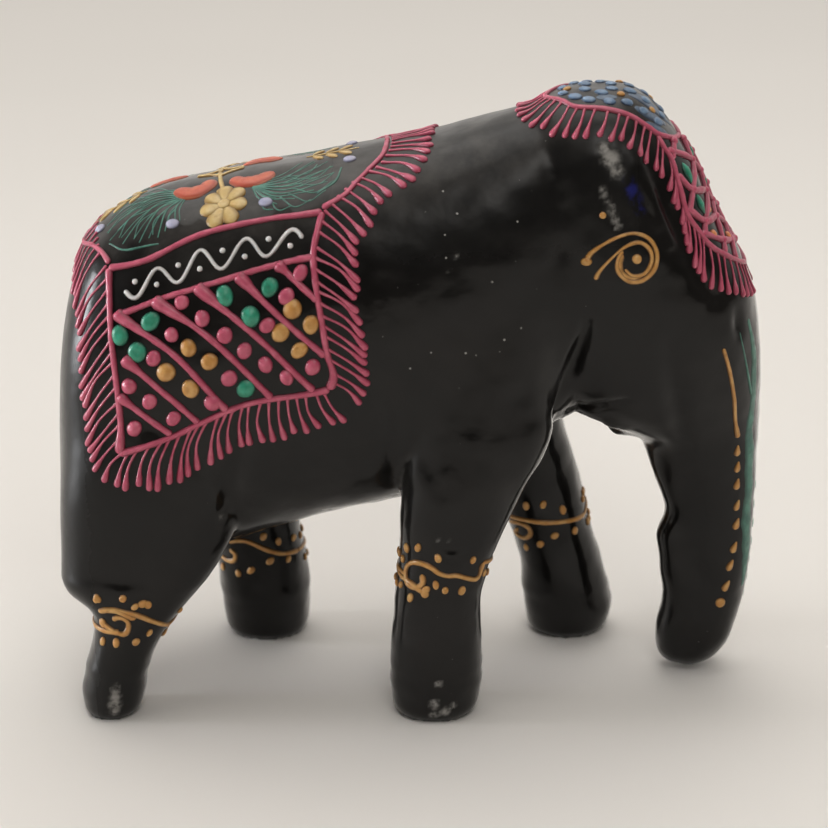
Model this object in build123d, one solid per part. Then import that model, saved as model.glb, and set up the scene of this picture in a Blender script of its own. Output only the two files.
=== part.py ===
"""Carved wooden elephant, 100 mm long, standing on four feet, with raised decoration.

The body is one carved block. Everything painted on it stands proud as dried beads, so every colour
of every ornament is its own node. Millimetres, +X towards the head, +Z up, floor at Z = 0.
Ornaments are drawn on the right flank as (x, z), on the back as (x, y) and on the forehead as
(y, z), then dropped onto the block. The left flank repeats the right one.
"""

from build123d import *
import math
import os

# ---- Driving dimensions -------------------------------------------------------------------------
OVAL_POINTS = 12          # spline points round one carved section
STEPS_BETWEEN = 2         # sections made from each pair of stations
TORSO_POWER = 2.35        # superellipse power of the flat-sided torso
HEAD_POWER = 2.2
LEG_POWER = 2.15

BORDER_RADIUS = 0.45      # half-width of a piped border line
LATTICE_RADIUS = 0.42
SCROLL_RADIUS = 0.34
THIN_RADIUS = 0.26        # half-width of a thin brushed line
STRAND_SHAPE = [0.26, 0.2, 0.22, 0.34, 0.5, 0.2]   # half-widths along one fringe strand
STROKE_SHAPE = [0.4, 0.8, 1.0, 0.9, 0.4]           # half-widths along one petal or leaf
DOT_HEIGHT = 0.75         # how far a round dot stands out of the lacquer
LIFT = 0.08               # film of lacquer between the wood and a bead

# ---- Section helpers ----------------------------------------------------------------------------


def between(before, low, high, after, share):
    """Smooth value at a share of the way from low to high, without overshooting either."""
    def slope(left, right):
        return 0.0 if left * right <= 0 else 2 * left * right / (left + right)

    rise = high - low
    slope_low = slope(low - before, rise)
    slope_high = slope(rise, after - high)
    a = share * share * (3 - 2 * share)
    b = share * (1 - share) ** 2
    c = share * share * (share - 1)
    return low + rise * a + slope_low * b + slope_high * c


def refine(stations):
    """Adds smoothly interpolated stations between the given ones."""
    last = len(stations) - 1
    fine = []
    for i in range(last):
        rows = [stations[max(i - 1, 0)], stations[i], stations[i + 1], stations[min(i + 2, last)]]
        for step in range(STEPS_BETWEEN):
            share = step / STEPS_BETWEEN
            fine.append(tuple(between(*column, share) for column in zip(*rows)))
    return fine + [stations[last]]


def oval(plane, half_u, half_v, power, seam):
    """One closed superellipse section, centred on the plane, that starts at the seam angle."""
    points = []
    for k in range(OVAL_POINTS):
        turn = seam + 2 * math.pi * k / OVAL_POINTS
        u = math.copysign(abs(math.cos(turn)) ** (2 / power), math.cos(turn)) * half_u
        v = math.copysign(abs(math.sin(turn)) ** (2 / power), math.sin(turn)) * half_v
        points.append(plane.from_local_coords(Vector(u, v, 0)))
    return make_face(Spline(*points, periodic=True))


def loft_along_x(stations, power):
    """stations: (x, z_low, z_high, half_width), from tail to head. The seam runs along the belly."""
    sections = []
    for x, z_low, z_high, half_width in refine(stations):
        plane = Plane(origin=(x, 0, (z_low + z_high) / 2), x_dir=(0, 1, 0), z_dir=(1, 0, 0))
        sections.append(oval(plane, half_width, (z_high - z_low) / 2, power, -math.pi / 2))
    return loft(sections)


def loft_along_z(stations, power):
    """stations: (z, x_back, x_front, y_centre, half_width), from the bottom up."""
    sections = []
    for z, x_back, x_front, y_centre, half_width in refine(stations):
        plane = Plane(origin=((x_back + x_front) / 2, y_centre, z))
        sections.append(oval(plane, (x_front - x_back) / 2, half_width, power, 0))
    return loft(sections)

# ---- Carved block -------------------------------------------------------------------------------
TORSO = [
    (-49.8, 22.0, 38.0, 5.0),
    (-49.2, 18.6, 48.0, 9.0),
    (-48.0, 17.4, 57.0, 12.0),
    (-46.2, 16.4, 63.8, 13.8),
    (-43.4, 15.8, 68.6, 15.0),
    (-38.3, 16.8, 72.2, 16.4),
    (-32.0, 18.8, 74.4, 17.2),
    (-23.0, 22.8, 76.4, 17.6),
    (-10.0, 26.6, 78.6, 17.6),
    (0.0, 28.8, 80.6, 17.2),
    (8.0, 31.4, 82.4, 16.4),
    (15.0, 35.2, 84.3, 15.0),
    (20.5, 39.2, 85.6, 12.6),
    (26.0, 44.0, 85.8, 8.0),
]
HEAD = [
    (0.8, 38.6, 41.8, 0.0, 2.0),
    (2.2, 37.4, 44.2, 0.0, 3.6),
    (5.4, 37.8, 46.4, 0.0, 4.8),
    (11.6, 38.4, 48.0, 0.0, 5.2),
    (18.0, 39.4, 49.0, 0.0, 5.4),
    (25.0, 39.2, 49.3, 0.0, 5.6),
    (31.0, 38.2, 49.5, 0.0, 6.2),
    (36.0, 36.0, 49.6, 0.0, 7.2),
    (38.6, 30.0, 49.7, 0.0, 8.2),
    (41.0, 24.4, 49.8, 0.0, 9.2),
    (45.5, 20.5, 49.8, 0.0, 11.0),
    (54.0, 16.6, 49.3, 0.0, 12.8),
    (62.0, 14.0, 47.2, 0.0, 13.2),
    (70.0, 13.0, 43.0, 0.0, 12.6),
    (78.0, 13.6, 39.2, 0.0, 11.2),
    (83.4, 15.8, 35.6, 0.0, 9.0),
    (86.4, 19.8, 32.8, 0.0, 5.8),
    (87.6, 24.6, 30.4, 0.0, 2.4),
]
TRUNK_WEB = [
    (18.0, 37.6, 44.0, 0.0, 3.4),
    (22.4, 37.0, 44.0, 0.0, 3.8),
    (29.4, 35.1, 44.0, 0.0, 4.4),
    (34.0, 33.6, 44.0, 0.0, 5.0),
    (37.4, 32.8, 44.0, 0.0, 5.6),
    (44.0, 30.0, 44.0, 0.0, 7.0),
]
TRUNK_CURL = [
    (1.0, 37.2, 41.0, 0.0, 1.8),
    (2.4, 35.8, 42.0, 0.0, 3.2),
    (6.0, 35.3, 42.4, 0.0, 4.1),
    (11.8, 36.2, 42.6, 0.0, 4.2),
    (17.0, 35.6, 42.8, 0.0, 4.0),
    (20.0, 35.8, 42.8, 0.0, 3.4),
    (21.6, 37.2, 42.0, 0.0, 2.0),
]
LOWER_LIP = [
    (36.8, 29.6, 32.0, 0.0, 1.6),
    (37.6, 28.4, 33.2, 0.0, 3.0),
    (39.4, 27.6, 34.6, 0.0, 4.2),
    (42.5, 27.0, 35.4, 0.0, 5.0),
]
RIGHT_FORE = [
    (0.0, -1.4, 8.0, -13.6, 4.4),
    (1.0, -2.6, 9.2, -13.6, 5.5),
    (4.0, -3.0, 9.8, -13.5, 5.9),
    (10.4, -2.8, 9.9, -13.4, 5.8),
    (16.8, -2.1, 9.8, -13.3, 5.5),
    (23.0, -1.6, 11.4, -13.1, 5.6),
    (28.5, -1.3, 13.8, -12.6, 6.2),
    (34.5, -1.0, 16.8, -11.8, 6.8),
    (42.0, -1.2, 20.2, -10.4, 7.4),
    (52.0, -1.0, 20.6, -8.6, 7.8),
    (61.0, 2.0, 18.0, -7.0, 6.5),
]
LEFT_FORE = [
    (0.0, 18.2, 27.0, 13.6, 4.2),
    (1.0, 16.8, 28.6, 13.6, 5.4),
    (4.5, 16.2, 29.5, 13.5, 6.1),
    (10.5, 15.9, 28.0, 13.4, 5.8),
    (17.2, 14.3, 26.2, 13.3, 5.5),
    (23.5, 12.0, 24.9, 13.0, 5.7),
    (32.0, 7.0, 22.8, 12.2, 6.4),
    (42.0, 3.0, 21.0, 10.4, 7.4),
    (52.0, 0.0, 20.6, 8.6, 7.8),
    (61.0, 2.0, 18.0, 7.0, 6.5),
]
RIGHT_HIND = [
    (0.0, -46.0, -40.2, -13.6, 3.4),
    (0.9, -47.0, -39.0, -13.6, 4.4),
    (3.5, -47.2, -38.2, -13.5, 5.0),
    (7.0, -46.4, -37.6, -13.4, 5.2),
    (10.0, -45.6, -36.6, -13.3, 5.3),
    (13.1, -44.8, -34.6, -13.1, 5.5),
    (16.6, -44.8, -31.9, -12.8, 5.9),
    (17.8, -48.2, -31.0, -12.6, 6.1),
    (20.5, -49.8, -28.4, -12.2, 6.5),
    (26.0, -49.8, -25.2, -11.6, 7.0),
    (34.0, -49.2, -23.0, -11.0, 7.4),
    (44.0, -46.8, -23.4, -9.6, 7.6),
    (54.0, -43.4, -26.2, -7.6, 6.6),
]
LEFT_HIND = [
    (0.0, -27.6, -17.8, 13.6, 4.4),
    (1.0, -28.8, -16.8, 13.6, 5.6),
    (5.0, -29.5, -16.2, 13.5, 6.1),
    (11.0, -29.7, -16.6, 13.3, 6.0),
    (16.0, -30.2, -17.2, 13.0, 6.2),
    (24.0, -34.5, -18.6, 12.0, 6.6),
    (34.0, -42.0, -20.4, 11.0, 7.4),
    (44.0, -44.0, -22.4, 9.6, 7.6),
    (54.0, -42.0, -26.2, 7.6, 6.6),
]


def carved_block():
    """Torso, head with trunk, and four legs, blended into the one piece of wood it is cut from."""
    block = loft_along_x(TORSO, TORSO_POWER)
    block += loft_along_z(HEAD, HEAD_POWER)
    for column in (TRUNK_WEB, TRUNK_CURL, LOWER_LIP, RIGHT_FORE, LEFT_FORE, RIGHT_HIND, LEFT_HIND):
        block += loft_along_z(column, LEG_POWER)
    return block

# ---- Relief paint helpers -----------------------------------------------------------------------
RIGHT, LEFT = -1, 1
CELL = 2.0                # size of one lookup cell
REACH = 0.5               # half the distance over which the skin's slope is read


def read_skin(block):
    """The block's skin as triangles, each with its three corners as (x, y, z)."""
    corners, triangles = block.tessellate(0.01, 0.05)
    return [[(corners[k].X, corners[k].Y, corners[k].Z) for k in triangle] for triangle in triangles]


def index_skin(skin, across):
    """Triangles sorted into cells over the two directions that a drop doesn't travel along."""
    cells = {}
    for triangle in skin:
        spans = [sorted(corner[k] for corner in triangle) for k in across]
        for i in range(math.floor(spans[0][0] / CELL), math.floor(spans[0][2] / CELL) + 1):
            for j in range(math.floor(spans[1][0] / CELL), math.floor(spans[1][2] / CELL) + 1):
                cells.setdefault((i, j), []).append(triangle)
    return cells


def drop(cells, across, along, sign, u, v):
    """The outermost skin point over (u, v), looking from the side that the sign gives."""
    best = None
    for triangle in cells.get((math.floor(u / CELL), math.floor(v / CELL)), []):
        (u0, v0), (u1, v1), (u2, v2) = [(c[across[0]], c[across[1]]) for c in triangle]
        area = (u1 - u0) * (v2 - v0) - (u2 - u0) * (v1 - v0)
        if abs(area) < 1e-9:
            continue
        b = ((u - u0) * (v2 - v0) - (u2 - u0) * (v - v0)) / area
        c = ((u1 - u0) * (v - v0) - (u - u0) * (v1 - v0)) / area
        if min(b, c, 1 - b - c) < -1e-6:
            continue
        height = sum(w * corner[along] for w, corner in zip((1 - b - c, b, c), triangle))
        if best is None or height * sign > best * sign:
            best = height
    if best is None:
        raise ValueError(f"no skin over {u}, {v}")
    point = [0.0, 0.0, 0.0]
    point[across[0]] = u
    point[across[1]] = v
    point[along] = best
    return Vector(*point)


def seat(cells, across, along, sign, u, v):
    """The skin over (u, v) as a plane whose Z points out of the wood."""
    origin = drop(cells, across, along, sign, u, v)
    step_u = drop(cells, across, along, sign, u + REACH, v) - drop(cells, across, along, sign, u - REACH, v)
    step_v = drop(cells, across, along, sign, u, v + REACH) - drop(cells, across, along, sign, u, v - REACH)
    normal = step_u.cross(step_v).normalized()
    outward = [0.0, 0.0, 0.0]
    outward[along] = sign
    if normal.dot(Vector(*outward)) < 0:
        normal = -normal
    return Plane(origin=origin + normal * LIFT, z_dir=normal)


class Skin:
    """Seats for points drawn on the right flank, the back or the brow, on either side."""

    def __init__(self, block):
        skin = read_skin(block)
        self.from_side = index_skin(skin, (0, 2))
        self.from_above = index_skin(skin, (0, 1))
        self.from_front = index_skin(skin, (1, 2))

    def flank(self, side, x, z):
        return seat(self.from_side, (0, 2), 1, side, x, z)

    def back(self, side, x, y):
        return seat(self.from_above, (0, 1), 2, 1, x, side * y)

    def brow(self, side, y, z):
        return seat(self.from_front, (1, 2), 0, 1, side * y, z)


def along_path(path, share):
    """A point at a share of the length of a drawn polyline."""
    lengths = [math.dist(a, b) for a, b in zip(path, path[1:])]
    distance = share * sum(lengths)
    for start, end, length in zip(path, path[1:], lengths):
        if distance <= length:
            return tuple(a + (b - a) * distance / length for a, b in zip(start, end))
        distance -= length
    return path[-1]


def on_skin(place, side, path, spacing=2.0, start_gap=0.0, end_gap=0.0):
    """Evenly spaced seats under a drawn polyline, short of its ends by the gaps."""
    length = sum(math.dist(a, b) for a, b in zip(path, path[1:]))
    steps = max(3, round(length / spacing))
    run = length - start_gap - end_gap
    return [place(side, *along_path(path, (start_gap + run * k / steps) / length)) for k in range(steps + 1)]


def half_round(seat_plane, tangent, radius):
    """A half-disc that stands on the skin, across the direction of travel."""
    normal = seat_plane.z_dir
    across = normal.cross(tangent).normalized()
    plane = Plane(origin=seat_plane.origin, x_dir=across, z_dir=across.cross(normal))
    ends = [plane.from_local_coords(Vector(u, 0, 0)) for u in (-radius, radius)]
    crown = plane.from_local_coords(Vector(0, radius * 0.95, 0))
    return make_face([Line(ends[0], ends[1]), ThreePointArc(ends[1], crown, ends[0])])


def bead(seats, radii):
    """One stroke of relief paint: half-round, flat against the lacquer, one radius for each seat."""
    last = len(seats) - 1
    sections = []
    for k, (seat_plane, radius) in enumerate(zip(seats, radii)):
        tangent = seats[min(k + 1, last)].origin - seats[max(k - 1, 0)].origin
        sections.append(half_round(seat_plane, tangent, radius))
    return loft(sections)


def line(seats, radius):
    return bead(seats, [radius] * len(seats))


def stroke(place, side, path, shape):
    """A stroke whose half-width follows the shape from its start to its end."""
    steps = len(shape) - 1
    return bead([place(side, *along_path(path, k / steps)) for k in range(steps + 1)], shape)


def dot(seat_plane, radius, height=DOT_HEIGHT):
    """A domed dot that stands on the skin."""
    ball = (radius ** 2 + height ** 2) / (2 * height)
    edge = math.asin(min(1.0, radius / ball)) / 2
    middle = (ball * math.sin(edge), ball * math.cos(edge) - ball + height)
    profile = make_face([Line((0, 0), (radius, 0)), ThreePointArc((radius, 0), middle, (0, height)),
                         Line((0, height), (0, 0))])
    dome = revolve(profile, Axis.Y)
    return seat_plane * Rot(90, 0, 0) * dome


def dots_on(place, points, radius, height=DOT_HEIGHT):
    return [dot(place(side, *point), radius, height) for side in (RIGHT, LEFT) for point in points]


# ---- Saddle cloth -------------------------------------------------------------------------------
BANNER_TOP = [(-40.2, 65.7), (-34.6, 67.3), (-27.2, 70.6), (-18.7, 72.5), (-10.8, 73.6)]
BANNER_LOW = [(-40.0, 59.6), (-33.3, 62.3), (-25.9, 64.7), (-17.4, 67.1), (-11.9, 68.3)]
REAR_BORDER = [(-40.2, 65.7), (-40.1, 60.4), (-39.9, 55.9), (-39.4, 49.8), (-39.1, 44.8), (-39.4, 40.8)]
BOTTOM_BORDER = [(-39.4, 40.8), (-35.3, 42.2), (-31.6, 43.5), (-28.3, 45.2), (-24.5, 47.0),
                 (-21.6, 48.1), (-17.9, 48.9), (-13.5, 49.5), (-10.2, 50.2)]
FRONT_BORDER = [(-10.8, 73.6), (-11.6, 70.8), (-12.0, 68.3), (-11.7, 64.6), (-11.0, 59.8),
                (-10.4, 55.4), (-9.7, 52.3), (-10.2, 50.2)]
FRONT_OVER_BACK = [(-10.8, 11.6), (-7.7, 10.4), (-4.9, 7.6), (-2.8, 4.4), (-2.3, 0.0)]
REAR_OVER_BACK = [(-40.2, 10.8), (-42.6, 7.0), (-44.6, 3.0), (-45.0, 0.0)]
LATTICE = [
    [(-38.6, 59.8), (-31.0, 54.8), (-24.4, 47.4)],
    [(-33.3, 62.0), (-26.0, 57.2), (-18.1, 49.3)],
    [(-27.4, 63.9), (-20.5, 58.2), (-12.3, 50.4)],
    [(-21.8, 65.4), (-15.6, 59.4), (-10.9, 54.8)],
    [(-16.5, 67.0), (-11.5, 62.4)],
    [(-38.4, 54.4), (-31.9, 48.8), (-28.3, 45.4)],
    [(-38.8, 48.8), (-35.2, 45.8), (-32.1, 43.6)],
]
LATTICE_GAP = 1.15        # from the end of a lattice line to the middle of the border it meets
DOTS_GREEN = [(-34.4, 59.3), (-38.3, 57.0), (-36.2, 54.9), (-24.1, 63.0), (-20.4, 61.2), (-17.8, 64.0),
              (-21.8, 50.2)]
DOTS_GOLD = [(-29.2, 56.0), (-26.4, 54.1), (-32.3, 52.2), (-29.4, 50.0), (-16.6, 57.9), (-13.9, 55.6),
             (-14.8, 61.4), (-12.6, 59.2)]
DOTS_PINK = [(-30.0, 62.0), (-31.6, 58.0), (-33.9, 53.6), (-27.2, 60.1), (-24.2, 57.6), (-21.6, 55.4),
             (-18.9, 53.4), (-16.0, 51.8), (-24.4, 52.2), (-26.2, 48.6), (-37.4, 50.6), (-34.9, 48.6),
             (-31.6, 46.2), (-37.2, 44.4), (-13.8, 66.0), (-15.5, 64.2), (-18.4, 59.2), (-12.2, 52.8)]
DOT_RADIUS = 0.95
FRONT_FRINGE = [(0.4, 76.3), (-1.8, 74.4), (-3.6, 72.1), (-5.0, 68.6), (-5.7, 64.6), (-5.6, 61.0),
                (-5.0, 57.0), (-4.2, 53.2), (-3.8, 50.6)]
BOTTOM_FRINGE = [(-42.4, 36.4), (-37.6, 35.7), (-32.4, 36.2), (-28.4, 38.2), (-21.3, 41.9), (-14.4, 43.8),
                 (-8.4, 45.4)]
REAR_FRINGE = [(-44.0, 61.6), (-44.4, 57.0), (-44.5, 52.0), (-44.4, 46.0), (-43.9, 41.0), (-43.2, 38.0)]
BACK_FRINGE = [(1.8, 10.0), (3.2, 7.4), (3.9, 4.6), (4.2, 0.6)]
STRANDS_FRONT = 16
STRANDS_BOTTOM = 22
STRANDS_REAR = 15
STRANDS_BACK = 8
STRAND_GAP = 0.17         # share of a strand left free beside its border


def fringe(place, side, top_rail, end_rail, count):
    """Strands from beside the border out to the rail that their ends follow."""
    strands = []
    for k in range(count):
        share = (k + 0.5) / count
        top = along_path(top_rail, share)
        end = along_path(end_rail, share)
        start = tuple(a + (b - a) * STRAND_GAP for a, b in zip(top, end))
        strands.append(stroke(place, side, [start, end], STRAND_SHAPE))
    return strands


def saddle_border(skin):
    lines = []
    for side in (RIGHT, LEFT):
        lines.append(line(on_skin(skin.flank, side, BANNER_TOP, 3.0, 1.0, 1.0), BORDER_RADIUS))
        lines.append(line(on_skin(skin.flank, side, BANNER_LOW, 3.0, 1.0, 1.0), BORDER_RADIUS))
        lines.append(line(on_skin(skin.flank, side, REAR_BORDER, 3.0, 0.6, 0.0), BORDER_RADIUS))
        lines.append(line(on_skin(skin.flank, side, BOTTOM_BORDER, 3.0, 1.0, 1.0), BORDER_RADIUS))
        lines.append(line(on_skin(skin.flank, side, FRONT_BORDER, 3.0, 0.6, 0.0), BORDER_RADIUS))
        lines.append(line(on_skin(skin.back, side, FRONT_OVER_BACK, 2.5, 0.6, 0.1), BORDER_RADIUS))
        lines.append(line(on_skin(skin.back, side, REAR_OVER_BACK, 2.5, 0.6, 0.1), BORDER_RADIUS))
    return lines


def saddle_lattice(skin):
    return [line(on_skin(skin.flank, side, path, 3.0, LATTICE_GAP, LATTICE_GAP), LATTICE_RADIUS)
            for side in (RIGHT, LEFT) for path in LATTICE]


def saddle_fringe(skin):
    strands = []
    for side in (RIGHT, LEFT):
        strands += fringe(skin.flank, side, FRONT_BORDER, FRONT_FRINGE, STRANDS_FRONT)
        strands += fringe(skin.flank, side, BOTTOM_BORDER, BOTTOM_FRINGE, STRANDS_BOTTOM)
        strands += fringe(skin.flank, side, REAR_BORDER, REAR_FRINGE, STRANDS_REAR)
        strands += fringe(skin.back, side, FRONT_OVER_BACK, BACK_FRINGE, STRANDS_BACK)
    return strands


# ---- Banner scroll ------------------------------------------------------------------------------
SCROLL_WAVES = 3.5
SCROLL_REACH = 0.24       # wave height as a share of the banner's width
SCROLL_STEPS = 42


def banner_point(share, across):
    """A point on the banner: share runs from rear to front, across from the top line to the low one."""
    top = along_path(BANNER_TOP, share)
    low = along_path(BANNER_LOW, share)
    return tuple(a + (b - a) * across for a, b in zip(top, low))


def banner_scroll(skin):
    beads = []
    for side in (RIGHT, LEFT):
        seats = []
        for k in range(SCROLL_STEPS + 1):
            wave = math.sin(2 * math.pi * SCROLL_WAVES * k / SCROLL_STEPS)
            share = 0.07 + 0.86 * k / SCROLL_STEPS
            seats.append(skin.flank(side, *banner_point(share, 0.5 + SCROLL_REACH * wave)))
        beads.append(line(seats, SCROLL_RADIUS))
        for k in range(round(2 * SCROLL_WAVES)):
            share = 0.07 + 0.86 * (k + 0.5) / (2 * SCROLL_WAVES)
            across = 0.4 if k % 2 == 0 else 0.6
            beads.append(dot(skin.flank(side, *banner_point(share, across)), 0.45, 0.4))
    return beads


# ---- Flowers on the back ------------------------------------------------------------------------
FLOWER = (-24.4, 8.4)
FLOWER_STEM = [(-24.4, 5.0), (-25.4, 3.0), (-25.6, 0.4)]
PETALS = 7
RED_STROKES = [
    [(-34.6, 4.6), (-31.8, 2.2)],
    [(-30.6, 5.0), (-28.0, 3.0)],
    [(-22.4, 3.6), (-19.6, 4.0)],
    [(-20.6, 1.0), (-17.8, 1.4)],
]
SPRAYS = [
    [(-31.4, 7.4), (-35.0, 8.8), (-38.4, 8.2)],
    [(-32.2, 6.0), (-36.0, 7.0), (-39.4, 6.2)],
    [(-35.4, 3.8), (-38.0, 4.4), (-40.4, 4.0)],
    [(-19.0, 6.8), (-15.6, 9.0), (-12.4, 9.2)],
    [(-18.4, 5.6), (-14.6, 7.2), (-10.8, 7.0)],
    [(-16.6, 3.8), (-13.6, 4.6), (-9.6, 4.2)],
]
DOTS_LILAC = [(-42.0, 2.6), (-30.4, 9.6), (-19.0, 9.8), (-6.4, 3.0)]
GOLD_LEAVES = [[(-38.0, 0.9), (-40.6, 1.6)], [(-13.2, 1.4), (-10.2, 1.7)]]
LEAF_SHAPE = [0.2, 0.3, 0.45, 0.55, 0.25]


def back_flowers(skin):
    beads = []
    x, y = FLOWER
    for side in (RIGHT, LEFT):
        beads.append(dot(skin.back(side, x, y), 0.85, 0.6))
        for k in range(PETALS):
            turn = 2 * math.pi * k / PETALS
            petal = skin.back(side, x + 1.95 * math.cos(turn), y + 1.95 * math.sin(turn))
            beads.append(dot(petal, 0.78, 0.5))
        beads.append(line(on_skin(skin.back, side, FLOWER_STEM, 2.0), SCROLL_RADIUS))
        for path in GOLD_LEAVES:
            beads.append(stroke(skin.back, side, path, LEAF_SHAPE))
    return beads


def back_petals(skin):
    return [stroke(skin.back, side, path, STROKE_SHAPE) for side in (RIGHT, LEFT) for path in RED_STROKES]


def back_sprays(skin):
    return [line(on_skin(skin.back, side, path, 2.0), THIN_RADIUS)
            for side in (RIGHT, LEFT) for path in SPRAYS]


# ---- Head cloth ---------------------------------------------------------------------------------
CAP_EDGE = [(19.6, 0.0), (20.6, 3.6), (23.4, 6.0), (26.7, 6.8), (30.1, 6.6), (34.0, 6.0), (36.0, 5.2)]
BROW_EDGE = [(4.8, 80.2), (7.4, 74.0), (7.4, 67.0), (5.6, 60.4), (0.0, 56.6)]
BROW_LATTICE = [[(0.3, 79.0), (7.0, 72.0)], [(0.3, 73.0), (7.2, 66.0)], [(0.3, 67.0), (6.2, 61.4)]]
CAP_DOTS = [(22.6, 1.8), (23.9, 3.6), (25.6, 4.9), (26.6, 2.4), (28.2, 4.6), (29.4, 2.2), (31.0, 4.4),
            (32.4, 2.0), (33.6, 4.0)]
CAP_ENDS = [(15.6, 0.6), (16.2, 4.4), (18.0, 7.2), (20.6, 8.6), (24.4, 9.2), (28.6, 9.0), (31.0, 8.6)]
BROW_LEAVES = [(3.6, 72.4), (3.6, 66.4), (2.2, 61.6)]
BROW_STARTS = [(38.6, 76.0), (41.4, 71.0), (43.8, 66.4), (45.6, 63.0)]
BROW_ENDS = [(38.2, 70.6), (38.9, 66.4), (41.0, 62.6), (43.6, 60.3)]
STRANDS_CAP = 11
STRANDS_BROW = 8


def head_cloth_border(skin):
    beads = []
    for side in (RIGHT, LEFT):
        beads.append(line(on_skin(skin.back, side, CAP_EDGE, 2.5, 0.1), BORDER_RADIUS))
        beads.append(line(on_skin(skin.brow, side, BROW_EDGE, 2.5, 0.6, 0.1), BORDER_RADIUS))
    return beads


def head_cloth_lattice(skin):
    return [line(on_skin(skin.brow, side, path, 2.5, 0.3, LATTICE_GAP), LATTICE_RADIUS)
            for side in (RIGHT, LEFT) for path in BROW_LATTICE]


def head_cloth_fringe(skin):
    strands = []
    for side in (RIGHT, LEFT):
        strands += fringe(skin.back, side, CAP_EDGE, CAP_ENDS, STRANDS_CAP)
        strands += fringe(skin.flank, side, BROW_STARTS, BROW_ENDS, STRANDS_BROW)
    return strands


# ---- Eyes and trunk -----------------------------------------------------------------------------
EYE = (31.5, 67.0)
EYE_OUTER = [(24.9, 66.4), (26.6, 68.9), (30.0, 70.5), (33.1, 70.0), (34.8, 67.4), (33.9, 64.7),
             (31.4, 63.5), (29.2, 65.0)]
EYE_INNER = [(25.9, 64.1), (27.2, 66.3), (29.9, 68.5), (31.9, 68.9), (33.3, 67.4), (32.7, 65.6), (31.2, 65.0)]
TRUNK_LINE = [(43.6, 53.0), (44.9, 47.5), (45.7, 41.5), (46.2, 38.4)]
TRUNK_DROPS = [(46.2, 36.2), (46.3, 33.6), (46.3, 30.9), (46.4, 27.5), (46.4, 24.5), (46.1, 20.9),
               (45.6, 18.1), (45.1, 14.8), (44.4, 12.3)]
TRUNK_GREEN = [(0.0, 26.0), (0.0, 22.6), (0.0, 19.2), (0.0, 16.0), (0.0, 12.8)]


def eye(skin, side):
    beads = [line(on_skin(skin.flank, side, path, 1.4, 1.2), SCROLL_RADIUS) for path in (EYE_OUTER, EYE_INNER)]
    beads.append(dot(skin.flank(side, *EYE), 0.7, 0.45))
    beads.append(dot(skin.flank(side, *EYE_OUTER[0]), 0.7, 0.45))
    return beads


def trunk_lines(skin):
    return [line(on_skin(skin.flank, side, TRUNK_LINE, 3.0), SCROLL_RADIUS) for side in (RIGHT, LEFT)]


# ---- Anklets ------------------------------------------------------------------------------------
ANKLET_STEPS = 16
ANKLET_DOTS = 8
ANKLET_LIFT = 0.15


def leg_point(stations, turn, z):
    """A point on a leg's skin at a height, at a turn round it that starts from the front."""
    fine = refine(stations)
    low, high = next((low, high) for low, high in zip(fine, fine[1:]) if low[0] <= z <= high[0])
    share = (z - low[0]) / (high[0] - low[0])
    x_back, x_front, y_centre, half_width = [a + (b - a) * share for a, b in zip(low[1:], high[1:])]
    u = math.copysign(abs(math.cos(turn)) ** (2 / LEG_POWER), math.cos(turn)) * (x_front - x_back) / 2
    v = math.copysign(abs(math.sin(turn)) ** (2 / LEG_POWER), math.sin(turn)) * half_width
    return Vector((x_back + x_front) / 2 + u, y_centre + v, z)


def leg_seat(stations, turn, z):
    origin = leg_point(stations, turn, z)
    round_leg = leg_point(stations, turn + 0.1, z) - leg_point(stations, turn - 0.1, z)
    up_leg = leg_point(stations, turn, z + REACH) - leg_point(stations, turn, z - REACH)
    normal = round_leg.cross(up_leg).normalized()
    return Plane(origin=origin + normal * ANKLET_LIFT, z_dir=normal)


def anklet(stations, z_line, lean):
    """A line round the leg, higher at the back by the lean, with dots above and below it."""
    seats = []
    for k in range(ANKLET_STEPS + 1):
        turn = 0.05 + (2 * math.pi - 0.1) * k / ANKLET_STEPS
        seats.append(leg_seat(stations, turn, z_line - lean * math.cos(turn)))
    beads = [line(seats, SCROLL_RADIUS)]
    for k in range(ANKLET_DOTS):
        turn = 2 * math.pi * (k + 0.5) / ANKLET_DOTS
        for step in (2.4, -2.3):
            beads.append(dot(leg_seat(stations, turn, z_line + step - lean * math.cos(turn)), 0.55, 0.4))
    return beads


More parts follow.
